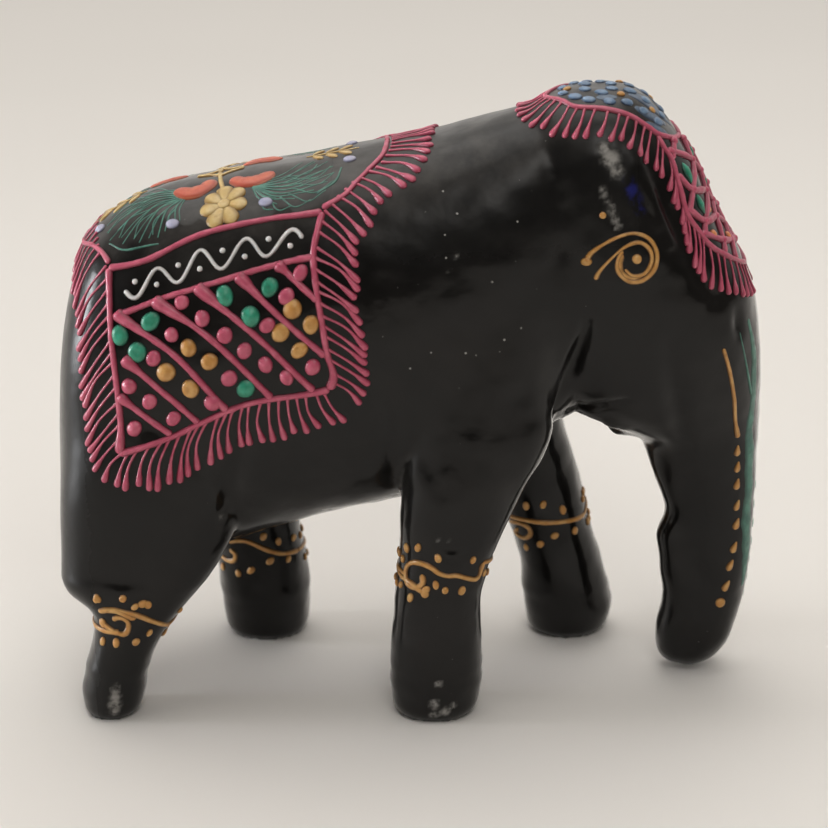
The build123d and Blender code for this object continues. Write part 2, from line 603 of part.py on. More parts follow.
def main():
    block = carved_block()
    skin = Skin(block)
    ornaments = {
        "saddle_border": saddle_border(skin),
        "saddle_lattice": saddle_lattice(skin),
        "saddle_fringe": saddle_fringe(skin),
        "saddle_dots_pink": dots_on(skin.flank, DOTS_PINK, DOT_RADIUS),
        "saddle_dots_green": dots_on(skin.flank, DOTS_GREEN, DOT_RADIUS),
        "saddle_dots_gold": dots_on(skin.flank, DOTS_GOLD, DOT_RADIUS),
        "banner_scroll": banner_scroll(skin),
        "back_flowers_gold": back_flowers(skin),
        "back_petals_red": back_petals(skin),
        "back_sprays_green": back_sprays(skin),
        "back_dots_lilac": dots_on(skin.back, DOTS_LILAC, 0.9, 0.5),
        "head_cloth_border": head_cloth_border(skin),
        "head_cloth_lattice": head_cloth_lattice(skin),
        "head_cloth_fringe": head_cloth_fringe(skin),
        "head_cap_dots_blue": dots_on(skin.back, CAP_DOTS, 0.75, 0.45),
        "head_cloth_leaves_green": dots_on(skin.brow, BROW_LEAVES, 0.9, 0.5),
        "eye_right": eye(skin, RIGHT),
        "eye_left": eye(skin, LEFT),
        "trunk_lines_gold": trunk_lines(skin),
        "trunk_drops_gold": dots_on(skin.flank, TRUNK_DROPS, 0.7, 0.5),
        "trunk_dots_green": [dot(skin.brow(RIGHT, *point), 0.7, 0.4) for point in TRUNK_GREEN],
        "anklet_right_fore": anklet(RIGHT_FORE, 22.6, 0.6),
        "anklet_left_fore": anklet(LEFT_FORE, 19.8, -0.4),
        "anklet_right_hind": anklet(RIGHT_HIND, 13.2, 0.8),
        "anklet_left_hind": anklet(LEFT_HIND, 15.4, 1.0),
    }
    parts = {"carved_block": block}
    for name, beads in ornaments.items():
        parts[name] = Compound(children=beads)

    boxes = [shape.bounding_box() for shape in parts.values()]
    centre_x = (min(box.min.X for box in boxes) + max(box.max.X for box in boxes)) / 2
    centre_y = (min(box.min.Y for box in boxes) + max(box.max.Y for box in boxes)) / 2
    os.makedirs("parts", exist_ok=True)
    for name, shape in parts.items():
        export_step(shape.moved(Location((-centre_x, -centre_y, 0))), f"parts/{name}.step")


main()
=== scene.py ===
import math
import random

import bmesh
import bpy
import numpy as np
from mathutils import Matrix, Vector, noise
from mathutils.bvhtree import BVHTree


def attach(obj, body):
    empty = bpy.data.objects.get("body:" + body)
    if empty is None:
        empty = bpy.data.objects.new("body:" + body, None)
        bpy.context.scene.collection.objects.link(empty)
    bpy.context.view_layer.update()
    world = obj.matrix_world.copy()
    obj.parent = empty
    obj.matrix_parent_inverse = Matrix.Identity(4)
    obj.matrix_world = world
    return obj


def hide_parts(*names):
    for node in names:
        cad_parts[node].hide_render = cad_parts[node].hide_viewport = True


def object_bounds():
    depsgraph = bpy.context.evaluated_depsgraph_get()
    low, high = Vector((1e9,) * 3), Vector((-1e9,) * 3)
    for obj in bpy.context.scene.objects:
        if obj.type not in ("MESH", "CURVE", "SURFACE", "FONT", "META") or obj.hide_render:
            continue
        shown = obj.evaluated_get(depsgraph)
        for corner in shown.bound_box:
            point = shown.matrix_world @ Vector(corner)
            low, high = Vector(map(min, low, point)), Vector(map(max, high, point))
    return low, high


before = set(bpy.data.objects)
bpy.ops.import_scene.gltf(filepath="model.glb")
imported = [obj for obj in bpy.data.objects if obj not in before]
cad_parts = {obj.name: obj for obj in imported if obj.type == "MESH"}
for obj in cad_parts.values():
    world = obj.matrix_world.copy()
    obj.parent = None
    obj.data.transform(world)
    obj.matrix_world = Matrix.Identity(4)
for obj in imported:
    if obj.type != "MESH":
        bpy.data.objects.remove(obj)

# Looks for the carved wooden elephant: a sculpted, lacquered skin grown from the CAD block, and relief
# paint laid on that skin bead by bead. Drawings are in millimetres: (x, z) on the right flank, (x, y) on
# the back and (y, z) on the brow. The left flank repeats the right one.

CAD_BOX = [list(corner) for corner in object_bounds()]
MM = 0.001
RIGHT, LEFT = -1, 1
BOTH = (RIGHT, LEFT)
dice = random.Random(7)

# ---- Skin sizes, in millimetres -----------------------------------------------------------------
VOXEL = 0.5                               # spacing of the skin's points
BLEND_PASSES = 22                         # smoothing of the whole block
JOIN_PASSES = 150                         # smoothing where neck, limbs, jaw and rump run into the torso
SHIN_PASSES, SHIN_REGROWTH = 90, 0.42     # smoothing of the shins, and the girth given back to them
FOLD_PASSES, FOLD_REGROWTH = 60, 0.12     # the same for the inner edge of the trunk
FOLD_LEVEL, FOLD_SPAN = 21.6, 2.3         # height and half-height of the fold in that edge
FOLD_BULGE = 1.3                          # how far the fold stands out
CARVE_HEIGHT, CARVE_SPAN = 0.22, 7.0      # height and width of the hand-carved unevenness

# ---- Camera, as an orbit round a point on the object --------------------------------------------
VIEW_TURN, VIEW_RISE, VIEW_ROLL = 2.0, 21.0, -1.14
VIEW_DISTANCE = 400.0
VIEW_CENTRE = (0.59, 0.0, 39.77)
LENS, SENSOR = 121.7, 36.0
FOCUS = (0.0, -10.0, 42.0)


# ---- Small mesh helpers -------------------------------------------------------------------------
def link(name, data):
    thing = bpy.data.objects.new(name, data)
    bpy.context.scene.collection.objects.link(thing)
    return thing


def positions(mesh):
    flat = np.empty(len(mesh.vertices) * 3)
    mesh.vertices.foreach_get("co", flat)
    return flat.reshape(-1, 3) / MM


def put_positions(mesh, points):
    mesh.vertices.foreach_set("co", (points * MM).ravel())
    mesh.update()


def normals(mesh):
    flat = np.empty(len(mesh.vertices) * 3)
    mesh.vertex_normals.foreach_get("vector", flat)
    return flat.reshape(-1, 3)


def smooth_shade(mesh):
    mesh.polygons.foreach_set("use_smooth", np.ones(len(mesh.polygons), bool))


def put_attribute(mesh, name, values):
    layer = mesh.attributes.new(name, "FLOAT", "POINT")
    layer.data.foreach_set("value", np.asarray(values, np.float32))


def ramp(values, low, high):
    """Smooth step from 0 at low to 1 at high."""
    t = np.clip((values - low) / (high - low), 0, 1)
    return t * t * (3 - 2 * t)


def window(values, low, high, soft):
    return ramp(values, low - soft, low) * (1 - ramp(values, high, high + soft))


def run_along(points):
    """Distance from the first point to each one, along the chain."""
    steps = np.linalg.norm(np.diff(points, axis=0), axis=1)
    return np.concatenate([[0], np.cumsum(steps)])


def resample(points, spacing):
    """A Catmull-Rom curve through drawn points, in even steps."""
    points = [np.array(p, float) for p in points]
    padded = [2 * points[0] - points[1]] + points + [2 * points[-1] - points[-2]]
    fine = []
    for a, b, c, d in zip(padded, padded[1:], padded[2:], padded[3:]):
        for t in np.linspace(0, 1, 12, endpoint=False):
            fine.append(0.5 * (2 * b + (c - a) * t + (2 * a - 5 * b + 4 * c - d) * t ** 2
                               + (3 * b - a - 3 * c + d) * t ** 3))
    fine = np.array(fine + [points[-1]])
    run = run_along(fine)
    steps = max(2, round(run[-1] / spacing))
    marks = np.linspace(0, run[-1], steps + 1)
    return np.stack([np.interp(marks, run, fine[:, k]) for k in range(fine.shape[1])], 1)


def at_share(points, share):
    """The point at a share of the length of a drawn polyline."""
    points = np.array(points, float)
    run = run_along(points)
    return np.array([np.interp(share * run[-1], run, points[:, k]) for k in range(points.shape[1])])


# ---- Carved skin --------------------------------------------------------------------------------
def remeshed_block():
    """The CAD block as an even skin of small quads."""
    source = link("source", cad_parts["carved_block"].data.copy())
    remesh = source.modifiers.new("even", "REMESH")
    remesh.mode = "VOXEL"
    remesh.voxel_size = VOXEL * MM
    graph = bpy.context.evaluated_depsgraph_get()
    mesh = bpy.data.meshes.new_from_object(source.evaluated_get(graph))
    bpy.data.objects.remove(source)
    return mesh


def relax(points, edges, weights, passes, regrow=-0.515):
    """Smoothing; a growing pass after each shrinking one keeps the volume, and regrow 0 leaves it out."""
    count = len(points)
    ends = np.concatenate([edges[:, 0], edges[:, 1]])
    others = np.concatenate([edges[:, 1], edges[:, 0]])
    degree = np.maximum(np.bincount(ends, minlength=count), 1)[:, None]
    for _ in range(passes):
        for step in (0.5, regrow) if regrow else (0.5,):
            total = np.stack([np.bincount(ends, points[others, k], minlength=count) for k in range(3)], 1)
            points = points + step * weights[:, None] * (total / degree - points)
    return points


def distance_to(points, path):
    """Distance from every point to a chain of close points, and how far along the chain it falls."""
    best = np.full(len(points), 1e9)
    share = np.zeros(len(points))
    for k, mark in enumerate(path):
        gap = np.linalg.norm(points - mark, axis=1)
        nearer = gap < best
        best[nearer] = gap[nearer]
        share[nearer] = k / max(1, len(path) - 1)
    return best, share


class Skin:
    """Seats for drawn points on a mesh, with smooth normals. Millimetres in and out."""

    def __init__(self, mesh):
        self.points = positions(mesh)
        mesh.calc_loop_triangles()
        corners = np.empty(len(mesh.loop_triangles) * 3, np.int64)
        mesh.loop_triangles.foreach_get("vertices", corners)
        self.tree = BVHTree.FromPolygons(self.points.tolist(), corners.reshape(-1, 3).tolist())

    def shoot(self, start, way):
        place, normal, _, _ = self.tree.ray_cast(Vector(start), Vector(way))
        if place is None:
            place, normal, _, _ = self.tree.find_nearest(Vector(start) + Vector(way) * 40)
        return place, normal

    def flank(self, side, x, z):
        """The skin seen from the side; back and brow are the same from above and from the front."""
        return self.shoot((x, side * 60, z), (0, -side, 0))

    def back(self, side, x, y):
        return self.shoot((x, side * y, 120), (0, 0, -1))

    def brow(self, side, y, z):
        return self.shoot((90, side * y, z), (-1, 0, 0))

    def inner(self, side, x, z):
        """The face of a leg that looks at the opposite leg."""
        return self.shoot((x, 0, z), (0, side, 0))

    def spot(self, side, mark):
        """A seat for an (x, z) mark on the flank or an (x, |y|, z) mark in space."""
        if len(mark) == 2:
            return self.flank(side, *mark)[0]
        return self.space(side, *mark)[0]

    def near(self, point):
        place, normal, _, _ = self.tree.find_nearest(Vector(point))
        return place, normal

    def space(self, side, x, y, z):
        """The skin nearest to a mark in space."""
        return self.near((x, side * y, z))

    def trail(self, place, side, path, spacing):
        """Skin points under a drawn curve."""
        return [place(side, *mark)[0] for mark in resample(path, spacing)]


# Creases and hollows: drawn path on the flank, width, depth. The depth fades out at both ends.
FLANK_CUTS = [
    ([(24.8, 57.4), (23.8, 53.4), (22.6, 49.6), (21.4, 46.2), (20.4, 43.6)], 0.9, 1.1),
    ([(-2.6, 49.5), (-1.8, 45.0), (-1.9, 40.0), (-2.0, 35.0)], 1.5, 0.7),
    ([(-22.4, 45.6), (-22.8, 41.0), (-23.8, 36.6), (-24.8, 32.6), (-26.6, 28.6)], 1.6, 0.8),
    ([(36.0, 54.5), (36.8, 48.2), (37.8, 42.8), (38.9, 36.0)], 1.5, 0.7),
    ([(21.6, 43.0), (26.0, 43.8), (30.4, 45.6)], 0.6, 0.5),
    ([(32.6, 82.6), (33.6, 79.0), (35.2, 74.6), (37.2, 70.0), (39.6, 64.6), (42.0, 60.6)], 1.6, 0.7),
    ([(31.4, 78.0), (32.6, 74.0), (34.2, 71.0)], 0.8, 0.4),
    ([(45.4, 57.4), (45.8, 54.6)], 0.9, 0.5),
    ([(4.2, 27.8), (5.8, 27.2), (7.6, 27.4)], 0.6, 0.1),
    ([(15.0, 47.0), (13.8, 41.0), (14.6, 36.0)], 3.2, 0.4),
]
# Swellings: the same, raised.
FLANK_RISES = [
    ([(31.0, 81.0), (32.2, 77.4), (33.8, 73.6), (36.0, 68.6)], 1.1, 0.4),
    ([(-25.6, 31.2), (-26.6, 28.8)], 1.2, 0.6),
    ([(4.6, 26.2), (5.8, 25.6), (7.2, 25.9)], 0.7, 0.38),
    ([(21.6, 42.8), (24.6, 42.2)], 2.4, 0.9),
    ([(27.4, 41.2), (29.8, 40.2)], 1.4, 0.7),
    ([(29.6, 70.6), (31.8, 66.8), (32.0, 62.6)], 4.0, 0.4),
]
# Places where the lacquer is torn or chipped, as (x, z, radius) on the flank: where an ear was once glued,
# a streak of glue below it, the toes of the hind and fore foot, and small knocks.
SCARS = [
    (27.2, 81.6, 1.0), (28.0, 80.2, 1.3), (28.9, 78.6, 1.0),
    (27.0, 76.4, 0.4), (27.2, 75.5, 0.5), (27.5, 74.7, 0.35), (27.9, 73.9, 0.6), (28.2, 73.1, 0.5),
    (28.5, 72.3, 0.65), (29.0, 71.3, 0.4),
    (-41.8, 5.6, 0.7), (-42.0, 4.2, 0.8), (-42.1, 2.9, 1.0), (-42.4, 1.6, 0.9),
    (3.9, 6.6, 0.5), (3.3, 3.4, 0.8), (4.8, 2.0, 0.8), (3.2, 1.6, 0.7), (6.0, 3.0, 0.4),
    (4.4, 28.4, 0.25), (5.9, 28.1, 0.25), (-25.8, 30.6, 0.5), (7.1, 68.3, 0.35), (6.4, 66.4, 0.3),
]
SMEARS = [(30.3, 77.4, 0.7), (30.8, 76.2, 1.0), (31.4, 74.8, 1.1), (32.0, 73.3, 0.8)]


def sculpt(mesh):
    """Blends the block into one carved form, then cuts its creases and hollows."""
    edges = np.empty(len(mesh.edges) * 2, np.int64)
    mesh.edges.foreach_get("vertices", edges)
    edges = edges.reshape(-1, 2)
    points = positions(mesh)
    x, y, z = points.T

    reach = np.abs(y)
    fine_detail = np.clip(window(x, 26, 60, 2) * (1 - ramp(z, 40, 46)) + (1 - ramp(z, 3, 7)), 0, 1)
    neck = window(x, 9, 27, 4) * ramp(z, 56, 62) * (1 - ramp(z, 86, 90))
    limbs = window(z, 43, 62, 5) * (window(x, -50, -20, 2) + window(x, -4, 17, 3)) * ramp(reach, 6, 10)
    shoulder = window(x, -2, 24, 4) * window(z, 46, 63, 4) * ramp(reach, 6, 10)
    rear = window(x, -60, -39, 4) * window(z, 24, 62, 5)
    jaw = window(x, 28, 43, 2.5) * window(z, 35, 49, 3) * ramp(reach, 2.5, 5)
    fold = window(x, 31.0, 40.5, 1.5) * window(z, 6, 38, 3)
    shins = window(z, 8, 20, 2.5) * (1 - ramp(x, 30, 32))

    # Gentle smoothing keeps the volume; plain smoothing melts joints and facets away.
    points = relax(points, edges, 1 - 0.85 * fine_detail, BLEND_PASSES)
    points = relax(points, edges, np.clip(neck + limbs, 0, 1), JOIN_PASSES)
    points = relax(points, edges, np.clip(jaw + shoulder + rear, 0, 1), JOIN_PASSES, 0.0)
    points = relax(points, edges, fold, FOLD_PASSES, 0.0)
    points = relax(points, edges, shins, SHIN_PASSES, 0.0)
    put_positions(mesh, points)
    points += normals(mesh) * np.maximum(SHIN_REGROWTH * shins, FOLD_REGROWTH * fold)[:, None]
    x, y, z = points.T
    points[:, 0] -= FOLD_BULGE * np.exp(-((z - FOLD_LEVEL) / FOLD_SPAN) ** 2) * window(x, 28, 37.5, 3)
    put_positions(mesh, points)

    for path_table, sign in ((FLANK_CUTS, -1), (FLANK_RISES, 1)):
        skin = Skin(mesh)
        points = positions(mesh)
        outward = normals(mesh)
        shift = np.zeros(len(points))
        for side in BOTH:
            for path, width, amount in path_table:
                marks = np.array(skin.trail(skin.flank, side, path, 0.5))
                gap, share = distance_to(points, marks)
                fade = np.sin(np.pi * np.clip(0.12 + 0.76 * share, 0, 1)) ** 0.6
                shift += sign * amount * fade * np.exp(-(gap / width) ** 2)
        put_positions(mesh, points + outward * shift[:, None])

    # Hand-carved unevenness, calmer on the rump, and flat soles on the ground.
    points = positions(mesh)
    points = relax(points, edges, np.full(len(points), 0.6), 3)
    put_positions(mesh, points)
    outward = normals(mesh)
    lumps = np.array([noise.noise(Vector(p) / CARVE_SPAN) + 0.5 * noise.noise(Vector(p) / (CARVE_SPAN * 0.45))
                      for p in points.tolist()])
    calm = (1 - 0.75 * rear) * ramp(points[:, 2], 1.0, 5.0)
    points = points + outward * (CARVE_HEIGHT * lumps * calm)[:, None]

    low = points[:, 2].min()
    points[:, 2] -= low * np.exp(-np.maximum(points[:, 2], 0) / 6)
    points[:, 2] = np.where(points[:, 2] < 0.35, points[:, 2] * 0.15, points[:, 2])
    put_positions(mesh, points)


def mark_wear(mesh):
    """Writes how torn, smeared, spattered and hazy each point of the skin is."""
    skin = Skin(mesh)
    points = skin.points
    outward = normals(mesh)
    torn = np.zeros(len(points))
    smeared = np.zeros(len(points))
    for side in BOTH:
        for layer, table in ((torn, SCARS), (smeared, SMEARS)):
            for x, z, radius in table:
                centre = np.array(skin.flank(side, x, z)[0])
                gap = np.linalg.norm(points - centre, axis=1) / radius
                layer[:] = np.maximum(layer, 1 - ramp(gap, 0.45, 1.25))
    rough = np.array([noise.noise(Vector(p) * 2.2) for p in points.tolist()])
    points = points - outward * (torn * (0.12 + 0.22 * rough))[:, None]
    put_positions(mesh, points)
    put_attribute(mesh, "torn", torn)
    put_attribute(mesh, "smeared", smeared)
    x, y, z = points.T
    put_attribute(mesh, "spattered", window(x, -1, 15, 4) * window(z, 54, 75, 5))
    handled = np.maximum(window(x, -8, 30, 6) * ramp(z, 60, 72), 1 - ramp(x, -46, -41))
    put_attribute(mesh, "hazy", handled)


def carved_skin():
    mesh = remeshed_block()
    mesh.name = "carved_skin"
    sculpt(mesh)
    mark_wear(mesh)
    mesh.materials.clear()
    smooth_shade(mesh)
    piece = link("carved_skin", mesh)
    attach(piece, "root")
    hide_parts("carved_block")
    return piece


# ---- Materials ----------------------------------------------------------------------------------
class Nodes:
    """Short-hand for building the node tree of a material or a world."""

    def __init__(self, owner):
        owner.use_nodes = True
        self.tree = owner.node_tree
        self.tree.nodes.clear()
        self.place = self.new("ShaderNodeTexCoord")

    def new(self, kind):
        return self.tree.nodes.new(kind)

    def wire(self, source, output, target, name):
        self.tree.links.new(source.outputs[output], target.inputs[name])

    def set(self, socket, value):
        """Sets a socket to a number or a colour, or joins it to another socket."""
        if isinstance(value, tuple):
            socket.default_value = (*value, 1.0)
        elif isinstance(value, (int, float)):
            socket.default_value = value
        else:
            self.tree.links.new(value, socket)

    def remap(self, value, low, high, to_low=0.0, to_high=1.0):
        node = self.new("ShaderNodeMapRange")
        node.interpolation_type = "SMOOTHSTEP"
        ends = {"Value": value, "From Min": low, "From Max": high, "To Min": to_low, "To Max": to_high}
        for name, number in ends.items():
            self.set(node.inputs[name], number)
        return node.outputs["Result"]

    def math(self, operation, a, b):
        node = self.new("ShaderNodeMath")
        node.operation = operation
        for socket, value in zip(node.inputs, (a, b)):
            self.set(socket, value)
        return node.outputs["Value"]


class Material(Nodes):
    """A principled material."""

    def __init__(self, name):
        self.material = bpy.data.materials.new(name)
        super().__init__(self.material)
        self.shader = self.new("ShaderNodeBsdfPrincipled")
        self.wire(self.shader, "BSDF", self.new("ShaderNodeOutputMaterial"), "Surface")

    def feed(self, name, value):
        self.set(self.shader.inputs[name], value)

    def texture(self, scale, detail, roughness=0.55):
        node = self.new("ShaderNodeTexNoise")
        for name, value in (("Scale", scale), ("Detail", detail), ("Roughness", roughness)):
            node.inputs[name].default_value = value
        self.wire(self.place, "Object", node, "Vector")
        return node.outputs["Fac"]

    def cells(self, scale):
        node = self.new("ShaderNodeTexVoronoi")
        node.inputs["Scale"].default_value = scale
        self.wire(self.place, "Object", node, "Vector")
        return node.outputs["Distance"]

    def attribute(self, name):
        node = self.new("ShaderNodeAttribute")
        node.attribute_name = name
        return node.outputs["Fac"]

    def facing_up(self):
        node = self.new("ShaderNodeSeparateXYZ")
        self.wire(self.place, "Normal", node, "Vector")
        return node.outputs["Z"]

    def mix(self, share, a, b):
        node = self.new("ShaderNodeMix")
        node.data_type = "RGBA"
        self.set(node.inputs["Factor"], share)
        for name, value in (("A", a), ("B", b)):
            self.set(next(s for s in node.inputs if s.name == name and s.type == "RGBA"), value)
        return next(s for s in node.outputs if s.type == "RGBA")

    def bump(self, height, strength, distance):
        node = self.new("ShaderNodeBump")
        for name, value in (("Height", height), ("Strength", strength), ("Distance", distance)):
            self.set(node.inputs[name], value)
        return node.outputs["Normal"]


def lacquer():
    """Thick black gloss lacquer over carved wood: rippled, handled, lighter on upward faces as settled dust
    and a painted sheen, and torn at the scars.
    """
    m = Material("lacquer_black")
    torn = m.math("MULTIPLY", m.attribute("torn"), m.remap(m.texture(420, 5, 0.6), 0.34, 0.5))
    smeared = m.math("MULTIPLY", m.attribute("smeared"), m.remap(m.texture(500, 3), 0.42, 0.62))
    film = m.remap(m.texture(60, 4, 0.6), 0.4, 0.75)
    base = m.mix(film, (0.0032, 0.0028, 0.0025), (0.0085, 0.0072, 0.0064))
    fleck = m.mix(m.remap(m.texture(620, 5, 0.6), 0.38, 0.62), (0.05, 0.048, 0.045), (0.33, 0.32, 0.3))
    # Upward-facing faces turn lighter and grey-brown. This is partly settled dust and partly a painted sheen
    # that stands in for the bright room reflected on the back and neck.
    dust_and_sheen_noise = m.remap(m.texture(85, 5, 0.7), 0.3, 0.75)
    dust_and_sheen = m.math("MULTIPLY", m.remap(m.facing_up(), 0.25, 0.95), dust_and_sheen_noise)
    base = m.mix(dust_and_sheen, base, (0.062, 0.056, 0.05))
    base = m.mix(torn, base, fleck)
    base = m.mix(smeared, base, (0.012, 0.014, 0.12))
    specks = m.math("MULTIPLY", m.remap(m.cells(620), 0.06, 0.03), m.remap(m.texture(75, 2), 0.6, 0.7))
    base = m.mix(specks, base, (0.3, 0.29, 0.28))
    spatter = m.math("MULTIPLY", m.remap(m.cells(560), 0.115, 0.07), m.remap(m.texture(330, 3), 0.5, 0.56))
    base = m.mix(m.math("MULTIPLY", spatter, m.attribute("spattered")), base, (0.36, 0.35, 0.33))
    m.feed("Base Color", base)
    worn = m.remap(m.texture(120, 5, 0.65), 0.35, 0.8, 0.28, 0.48)
    m.feed("Roughness", m.math("ADD", worn, m.math("MULTIPLY", torn, 0.3)))
    m.feed("Specular IOR Level", 0.11)
    m.feed("Coat Weight", m.math("SUBTRACT", 1.0, torn))
    handled = m.remap(m.texture(200, 4, 0.7), 0.45, 0.8, 0.06, 0.17)
    m.feed("Coat Roughness", m.math("ADD", handled, m.math("MULTIPLY", m.attribute("hazy"), 0.26)))
    m.feed("Coat IOR", 1.28)
    ripple = m.math("ADD", m.texture(230, 2), m.math("MULTIPLY", m.texture(900, 2), 0.12))
    m.feed("Normal", m.bump(ripple, 0.5, 0.00022))
    m.feed("Coat Normal", m.bump(ripple, 0.5, 0.0002))
    return m.material


def relief_paint(name, colour, thin, bright):
    """Dried relief paint: thin and dark at a bead's edge, lighter on its crown, faintly pitted."""
    m = Material(name)
    crown = m.remap(m.attribute("crown"), 0.05, 0.75)
    body = m.mix(m.remap(m.texture(700, 3), 0.35, 0.7), colour, bright)
    rubbed = m.remap(m.texture(420, 5, 0.7), 0.56, 0.74)
    body = m.mix(m.math("MULTIPLY", rubbed, 0.55), body, thin)
    m.feed("Base Color", m.mix(crown, thin, body))
    m.feed("Roughness", m.remap(m.texture(900, 3), 0.3, 0.7, 0.34, 0.54))
    m.feed("Coat Weight", 0.22)
    m.feed("Coat Roughness", 0.18)
    m.feed("Subsurface Weight", 0.06)
    m.feed("Subsurface Scale", 0.0004)
    pits = m.math("ADD", m.texture(1600, 3), m.math("MULTIPLY", m.texture(5200, 2), 0.35))
    m.feed("Normal", m.bump(pits, 0.4, 0.00008))
    return m.material


COLOURS = {
    "paint_pink": ((0.49, 0.072, 0.135), (0.25, 0.03, 0.06), (0.6, 0.125, 0.195)),
    "paint_green": ((0.018, 0.23, 0.13), (0.008, 0.08, 0.05), (0.035, 0.34, 0.21)),
    "paint_gold": ((0.52, 0.24, 0.05), (0.18, 0.08, 0.016), (0.64, 0.36, 0.115)),
    "paint_white": ((0.63, 0.61, 0.6), (0.26, 0.25, 0.24), (0.76, 0.75, 0.74)),
    "paint_red": ((0.52, 0.085, 0.038), (0.4, 0.06, 0.03), (0.6, 0.14, 0.065)),
    "paint_lilac": ((0.36, 0.36, 0.5), (0.12, 0.12, 0.18), (0.5, 0.5, 0.62)),
    "paint_blue": ((0.1, 0.175, 0.29), (0.035, 0.06, 0.11), (0.19, 0.29, 0.42)),
    "paint_blue_wash": ((0.07, 0.105, 0.16), (0.03, 0.045, 0.075), (0.12, 0.17, 0.24)),
    "paint_orange": ((0.7, 0.2, 0.07), (0.3, 0.06, 0.02), (0.8, 0.32, 0.12)),
    "paint_pale_gold": ((0.55, 0.37, 0.12), (0.27, 0.15, 0.03), (0.64, 0.48, 0.22)),
    "paint_teal": ((0.026, 0.125, 0.092), (0.017, 0.068, 0.05), (0.06, 0.23, 0.166)),
}
# Paints that the CAD does not name, and the slot each one belongs to.
PAINTS = {name: relief_paint(name, *colours) for name, colours in COLOURS.items()}


# ---- Relief paint -------------------------------------------------------------------------------
ACROSS = (-1.0, -0.86, -0.5, 0.0, 0.5, 0.86, 1.0)   # places across a bead, as shares of its half-width
SINK = 0.08                                          # how far a bead's rim is set into the lacquer
END_SHARES = (0.0, 0.05, 0.17, 0.36, 0.64, 1.0)       # stations in a bead's rounded end, in half-widths
BEAD_STEP = 0.4
DOT_RINGS = (0.28, 0.55, 0.78, 0.93, 1.0)
DOT_SEGMENTS = 22


